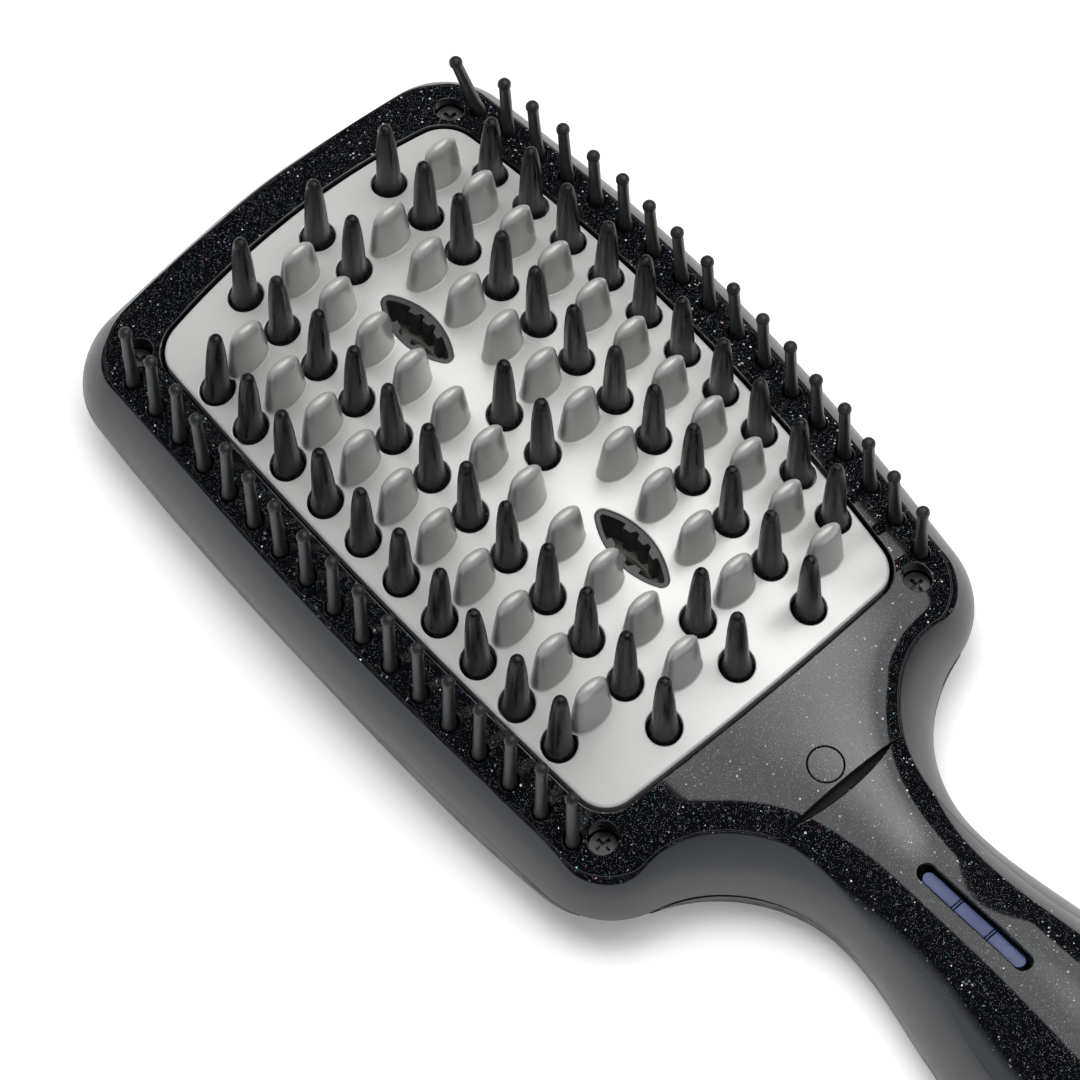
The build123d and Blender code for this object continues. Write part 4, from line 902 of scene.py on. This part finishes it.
panel = Skin()
outer = head_loop(rim_lip, lambda x: along(panel_end))
outer = panel.rolled_edge(outer, *panel_edge, crown_z, 1)
holes = [(plate_loop(opening_gap), opening_edge, opening_ledge)]
holes += [(circle_loop(x, y, edge_hole, 20), edge_hole_edge) for x, y in edge_places]
holes += [(circle_loop(x, y, screw_bore, 28), screw_hole_edge, screw_ledge)
          for x, y in screw_places]
holes.append((circle_loop(0, along(plug_reach), plug_radius + seam, 32), plug_hole_edge))
holes = [panel.rolled_edge(loop, *edge, crown_z, -1, *floor) for loop, edge, *floor in holes]
panel.sheet(outer, holes, crown_z, 1.5, rings=shoulder_rows)
panel_piece = panel.piece("head_panel_skin", body_black)

plug = Skin()
plug.pad(circle_loop(0, along(plug_reach), plug_radius, 32), plug_edge,
         lambda x, y: top_z(x, y) - plug_sunk, 0.8)
plug_piece = plug.piece("neck_plug_disc", body_black)


# ---- Heated plate with its fins ----
def row_y(row):
    """Place along the head of a row of the field, counted from the far end."""
    return head_y + (4.5 - row)*pitch


pin_places = [(0, row_y(row)) for row in (-1, 0, 4, 5, 9, 10)]
for side in (-1, 1):
    pin_places += [(side*pin_columns[0], row_y(row)) for row in range(-1, 11)]
    pin_places += [(side*(pin_columns[1] - (corner_pin_in if row in (0, 9) else 0)), row_y(row))
                   for row in range(10)]
fin_places = []
for row in range(11):
    if row < 10:
        fin_places += [(-fin_columns[1], row_y(row)), (fin_columns[0], row_y(row))]
    fin_places += [(-fin_columns[0], row_y(row - 0.5)), (fin_columns[1], row_y(row - 0.5))]

plate = Skin()
outer = plate.rolled_edge(plate_loop(0), *plate_edge, face_z, 1)
holes = [plate.rolled_edge(circle_loop(x, y, pin_hole, 30), *pin_hole_edge, face_z, -1)
         for x, y in pin_places]
holes += [plate.rolled_edge(eye_loop(head_y + side*outlet_y, outlet_gap), *outlet_edge,
                            face_z, -1) for side in (-1, 1)]
plate.sheet(outer, holes, face_z, 1.7)


def fin_profile():
    """(height, half length, half width) up a fin: small fillet, full flanks, round top."""
    (foot_long, foot_wide), (tip_long, tip_wide) = fin_foot, fin_tip
    steps = []
    for i in range(4):
        turn = math.radians(30*i)
        spread = fin_fillet*(1 - math.sin(turn))
        steps.append((fin_fillet*(1 - math.cos(turn)), foot_long + spread, foot_wide + spread))
    for i in range(1, 7):
        t = i/6
        steps.append((fin_fillet + (fin_shoulder - fin_fillet)*t,
                      foot_long - (foot_long - tip_long)*t**1.5,
                      foot_wide - (foot_wide - tip_wide)*t**1.2))
    for turn in (14, 28, 41, 53, 63, 72, 80, 86, 90):
        rise, shrink = math.sin(math.radians(turn)), math.cos(math.radians(turn))
        steps.append((fin_shoulder + (fin_top - fin_shoulder)*rise, tip_long*shrink**0.8,
                      tip_wide*shrink**0.85))
    return steps


fin_steps = fin_profile()
for cx, cy in fin_places:
    rows = []
    for high, half_x, half_y in fin_steps:
        hold = max(0.0, 1 - high/fin_follow)    # how much the foot follows the dome
        row = []
        for i in range(28):
            turn = 2*math.pi*i/28
            x, y = cx + half_x*math.cos(turn), cy + half_y*math.sin(turn)
            row.append(Vector((x, y, face_z(x, y)*hold + face_z(cx, cy)*(1 - hold) + high)))
        rows.append(row)
    plate.band(rows, -1, first=[normal_of(face_z, p.x, p.y) for p in rows[0]])
plate_piece = plate.piece("heated_plate_face", plate_silver)
# Fin faces above the plate take the darker silver copy: painted shade on the fins.
plate_piece.data.materials.append(fin_shaded_silver)
for face in plate_piece.data.polygons:
    x, y, z = face.center/MM
    face.material_index = int(z > face_z(x, y) + fin_shade_rise)


# ---- Steam outlet liners with teeth ----
def toothed(loop, y):
    """Eye loop drawn in at three teeth along each flank."""
    drawn = []
    for x, py in offset_loop(loop, -liner_wall):
        away = min(abs(py - y - k*tooth_pitch) for k in (-1, 0, 1))
        share = part_way(tooth_half, away, tooth_flank)
        drawn.append((x - math.copysign(tooth_high*share, x), py))
    return drawn


def liner_z(x, y):
    return face_z(x, y) - liner_sunk


liners = Skin()
for side in (-1, 1):
    centre = head_y + side*outlet_y
    eye = eye_loop(centre, -outlet_gap)
    outer = liners.rolled_edge(eye, *liner_edge, liner_z, 1)
    inner = liners.rolled_edge(toothed(eye, centre), *liner_bore_edge, liner_z, -1)
    liners.sheet(outer, [inner], liner_z, 0.5)
liner_piece = liners.piece("steam_outlet_liners", outlet_grey)


# ---- Indicator lens: three segments parted by ribs ----
def lens_z(x, y):
    return top_z(0, y) - lens_sink - sag(2.2, min(abs(x), 1.2))*0.5


def segment_loop(low, high, round_low, round_high):
    """Outline of one lens segment, its ends half round or square."""
    r = lens_width/2
    loop = []
    for end, side, rounded in ((low, -1, round_low), (high, 1, round_high)):
        for i in range(0, 13, 1 if rounded else 12):
            turn = math.pi*i/12
            y = end - side*r + side*r*math.sin(turn) if rounded else end
            loop.append((side*r*math.cos(turn), y))
    return loop


lens = Skin()
lens_centre, segment = along(window_reach), lens_length/3
for k in (-1, 0, 1):
    low = lens_centre + k*segment - segment/2 + (rib_room if k > -1 else 0)
    high = lens_centre + k*segment + segment/2 - (rib_room if k < 1 else 0)
    lens.pad(segment_loop(low, high, k == -1, k == 1), lens_edge, lens_z, 0.6)
for k in (-0.5, 0.5):
    low, high = (lens_centre + k*segment + side*rib_half_thick for side in (-1, 1))
    lens.pad(bar_loop(rib_half_wide, low, high), rib_edge, lens_z, 0.6)
lens_piece = lens.piece("indicator_lens", lens_blue)


# ---- Bristles set out by geometry nodes ----
def bristle_tree():
    """Stands one bristle at every point, tipped by the point's own lean."""
    tree = bpy.data.node_groups.new("Bristle planting", "GeometryNodeTree")
    for name, way, kind in (("Places", "INPUT", "Geometry"), ("Bristle", "INPUT", "Object"),
                            ("Finish", "INPUT", "Material"), ("Bristles", "OUTPUT", "Geometry")):
        tree.interface.new_socket(name, in_out=way, socket_type="NodeSocket" + kind)
    new = tree.nodes.new
    start, end = new("NodeGroupInput"), new("NodeGroupOutput")
    pattern, lean_by = new("GeometryNodeObjectInfo"), new("GeometryNodeInputNamedAttribute")
    lean_by.data_type = "FLOAT_VECTOR"
    lean_by.inputs["Name"].default_value = "lean"
    turn, stand = new("FunctionNodeEulerToRotation"), new("GeometryNodeInstanceOnPoints")
    solid, paint = new("GeometryNodeRealizeInstances"), new("GeometryNodeSetMaterial")
    for node, output, following, entry in (
            (start, "Places", stand, "Points"), (start, "Bristle", pattern, "Object"),
            (pattern, "Geometry", stand, "Instance"), (lean_by, "Attribute", turn, "Euler"),
            (turn, "Rotation", stand, "Rotation"), (stand, "Instances", solid, "Geometry"),
            (solid, "Geometry", paint, "Geometry"), (start, "Finish", paint, "Material"),
            (paint, "Geometry", end, "Bristles")):
        tree.links.new(node.outputs[output], following.inputs[entry])
    return tree


planting = bristle_tree()


def plant(name, places, leans, profile, count, finish):
    """Plain mesh of one bristle, turned from (radius, height) points, at each place."""
    turned = Skin()
    turned.band([[Vector((*p, z)) for p in circle_loop(0, 0, r, count)] for r, z in profile], -1)
    bristle = turned.piece(name + "_pattern", finish)
    spots = bpy.data.meshes.new(name + "_places")
    spots.from_pydata([Vector(p)*MM for p in places], [], [])
    tips = spots.attributes.new("lean", "FLOAT_VECTOR", "POINT")
    tips.data.foreach_set("vector", [v for tilt in leans for v in tilt])
    bed = placed(name + "_bed", spots)
    work = bed.modifiers.new("Planting", "NODES")
    work.node_group = planting
    sockets = {item.name: item.identifier for item in planting.interface.items_tree
               if item.in_out == "INPUT"}
    work[sockets["Bristle"]] = bristle
    work[sockets["Finish"]] = finish
    bpy.context.view_layer.update()
    live = bed.evaluated_get(bpy.context.evaluated_depsgraph_get())
    mesh = bpy.data.meshes.new_from_object(live)
    mesh.name = name
    bpy.data.objects.remove(bed)
    bpy.data.objects.remove(bristle)
    return finished(name, mesh, finish)


chance = random.Random(11)


def small_lean(most, inward=0.0):
    """Turns about X and Y that tip a bristle a little by chance, and inward by a set angle."""
    return (math.radians(chance.uniform(-most, most)),
            math.radians(chance.uniform(-most, most) - inward), 0.0)


pin_profile = [(2.3, -1.9), (2.3, -0.2), (2.2, 0.35), (2.05, 0.9), (1.95, 1.7), (1.85, 3.0),
               (1.77, 5.5), (1.67, 8.0), (1.57, 10.2), (1.44, 12.4), (1.29, 14.2), (1.14, 15.6),
               (1.03, 16.4), (0.85, 16.88), (0.6, 17.13), (0.3, 17.26), (0.0, 17.3)]
pins = plant("heated_field_bristles", [(x, y, face_z(x, y)) for x, y in pin_places],
             [small_lean(1.3) for _ in pin_places], pin_profile, 24, bristle_dark)

ball_round, ball_high = 1.05, 15.35
edge_profile = [(1.15, -1.5), (1.15, 0.1), (1.1, 0.5), (1.01, 1.2), (0.96, 2.4), (0.93, 5.0),
                (0.9, 9.0), (0.87, 13.0), (0.85, 14.5)]
edge_profile += [(ball_round*math.sin(math.radians(a)),
                  ball_high - ball_round*math.cos(math.radians(a))) for a in range(58, 179, 15)]
edge_profile.append((0.0, ball_high + ball_round))
edge_leans = [small_lean(1.2, 3.0 if x > 0 else 0.0) for x, _ in edge_places]
# The bristle in the far right corner is bent the most.
far_right = max(range(len(edge_places)), key=lambda i: edge_places[i][0] + 10*edge_places[i][1])
edge_leans[far_right] = (math.radians(-8), math.radians(-9), 0.0)
edge_pins = plant("edge_bristle_rows", [(x, y, top_z(x, y)) for x, y in edge_places],
                  edge_leans, edge_profile, 18, edge_dark)

# ---- What each piece rides on and stands for ----
riding = [(piece, "handset", slot, nodes) for piece, slot, *nodes in (
    (front_piece, "gloss_black", "front_housing"), (shelf_piece, "gloss_black"),
    (panel_piece, "gloss_black", "head_panel"), (plug_piece, "gloss_black", "neck_plug"),
    (plate_piece, "heated_silver", "heated_plate"), (liner_piece, "outlet_grey", "outlet_ducts"),
    (lens_piece, "lens_blue", "light_pipe"), (pins, "bristle_charcoal", "bristle_mat"),
    (edge_pins, "bristle_charcoal", "left_edge_bristles", "right_edge_bristles"))]
riding += [(joined_copy(node, name, finish), body, slot, [node])
           for node, name, finish, body, slot in (
    ("rear_housing", "rear_housing_shell", body_side, "handset", "gloss_black"),
    ("water_tank", "water_tank_body", tank_smoke, "tank", "tank_smoke"),
    ("tank_cap", "filler_cap_disc", gland_black, "filler_cap", "gland_black"),
    ("cord_gland", "cord_gland_sleeve", gland_black, "gland", "gland_black"),
    ("heat_button", "heat_key_cap", key_silver, "heat_key", "key_silver"),
    ("power_button", "power_key_cap", key_silver, "power_key", "key_silver"),
    ("steam_button", "steam_trigger_cap", key_black, "steam_trigger", "key_black"))]
for piece, body, slot, nodes in riding:
    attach(piece, body)
    if nodes:
        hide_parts(*nodes)


# ---- Floor, light and camera ----
def pale_floor():
    """Floor that looks white to the camera and keeps the brush's shadow."""
    mesh = bpy.data.meshes.new("floor")
    mesh.from_pydata([(-3, -3, 0), (3, -3, 0), (3, 3, 0), (-3, 3, 0)], [], [(0, 1, 2, 3)])
    finish = Finish("Pale floor", grey(0.9), 0.9)
    finish.tint(4, grey(0.89), grey(0.91))
    seen = finish.add("ShaderNodeLightPath").outputs["Is Camera Ray"]
    finish.look(Specular_IOR_Level=0.1, Emission_Color=(1, 1, 1, 1),
                Emission_Strength=finish.maths("MULTIPLY", seen, 0.24))
    floor = finished("floor", mesh, finish.material)


def soft_box(name, centre, target, wide, high, watts):
    """Rectangular lamp that looks at a target."""
    lamp = bpy.data.lights.new(name, "AREA")
    lamp.shape = "RECTANGLE"
    lamp.size, lamp.size_y, lamp.energy = wide, high, watts
    holder = placed(name, lamp)
    holder.location = centre
    holder.rotation_euler = (Vector(target) - Vector(centre)).to_track_quat("-Z", "Y").to_euler()
    return holder


def warm_centre(holder, centre, reach, middle, edge):
    """Makes a soft box brighter round one place, as by its bulb."""
    holder.data.use_nodes = True
    lamp = Wiring(holder.data.node_tree)
    place = lamp.add("ShaderNodeNewGeometry").outputs["Parametric"]
    away = lamp.vector_maths("DISTANCE", place, centre, output="Value")
    lamp.fill(lamp.nodes["Emission"],
              Strength=lamp.span(away, 0.0, reach, middle, edge, "SMOOTHSTEP"))


def studio_sky():
    """Dark above, with a pale glow round the horizon that stands higher on one side."""
    world = bpy.data.worlds.new("studio")
    bpy.context.scene.world = world
    world.use_nodes = True
    sky = Wiring(world.node_tree)
    rise = sky.vector_maths("DOT_PRODUCT", sky.add("ShaderNodeTexCoord").outputs["Generated"],
                            (0.3, 0.1, 1.0), output="Value")
    glow = sky.ramp(rise, ((0.0, (0.64, 0.68, 0.76)), (0.25, (0.012, 0.013, 0.015))))
    sky.fill(sky.nodes["Background"], Color=glow, Strength=1.0)


pale_floor()
key = soft_box("key_box", (0.36, 0.07, 0.6), (0.36, 0.07, 0.0), 0.88, 0.76, 3.2)
key.rotation_euler = (0, 0, 0)
warm_centre(key, (0.47, 0.47, 0.0), 0.38, 2.0, 0.8)
fill = soft_box("fill_box", (0.05, 0.5, 1.0), (0, 0.05, 0), 0.9, 0.9, 8.5)
near = soft_box("near_box", (-0.01, 0.01, 0.23), (-0.01, 0.03, 0.03), 0.14, 0.14, 0.15)
fill.visible_glossy = near.visible_glossy = False
studio_sky()
bpy.context.scene.view_settings.view_transform = "Standard"

camera_lens = bpy.data.cameras.new("camera")
camera_lens.lens, camera_lens.sensor_width = 212.15, 36.0
camera_lens.clip_start, camera_lens.clip_end = 0.05, 20
camera = placed("camera", camera_lens)
camera.location = (-0.2595, -0.2212, 0.8758)
forward = Vector((0.269, 0.312, -0.911)).normalized()
upward = Vector((0.748, -0.663, -0.006)).normalized().cross(forward).normalized()
right = forward.cross(upward).normalized()
camera.rotation_euler = Matrix((right, upward, -forward)).transposed().to_euler()
bpy.context.scene.camera = camera
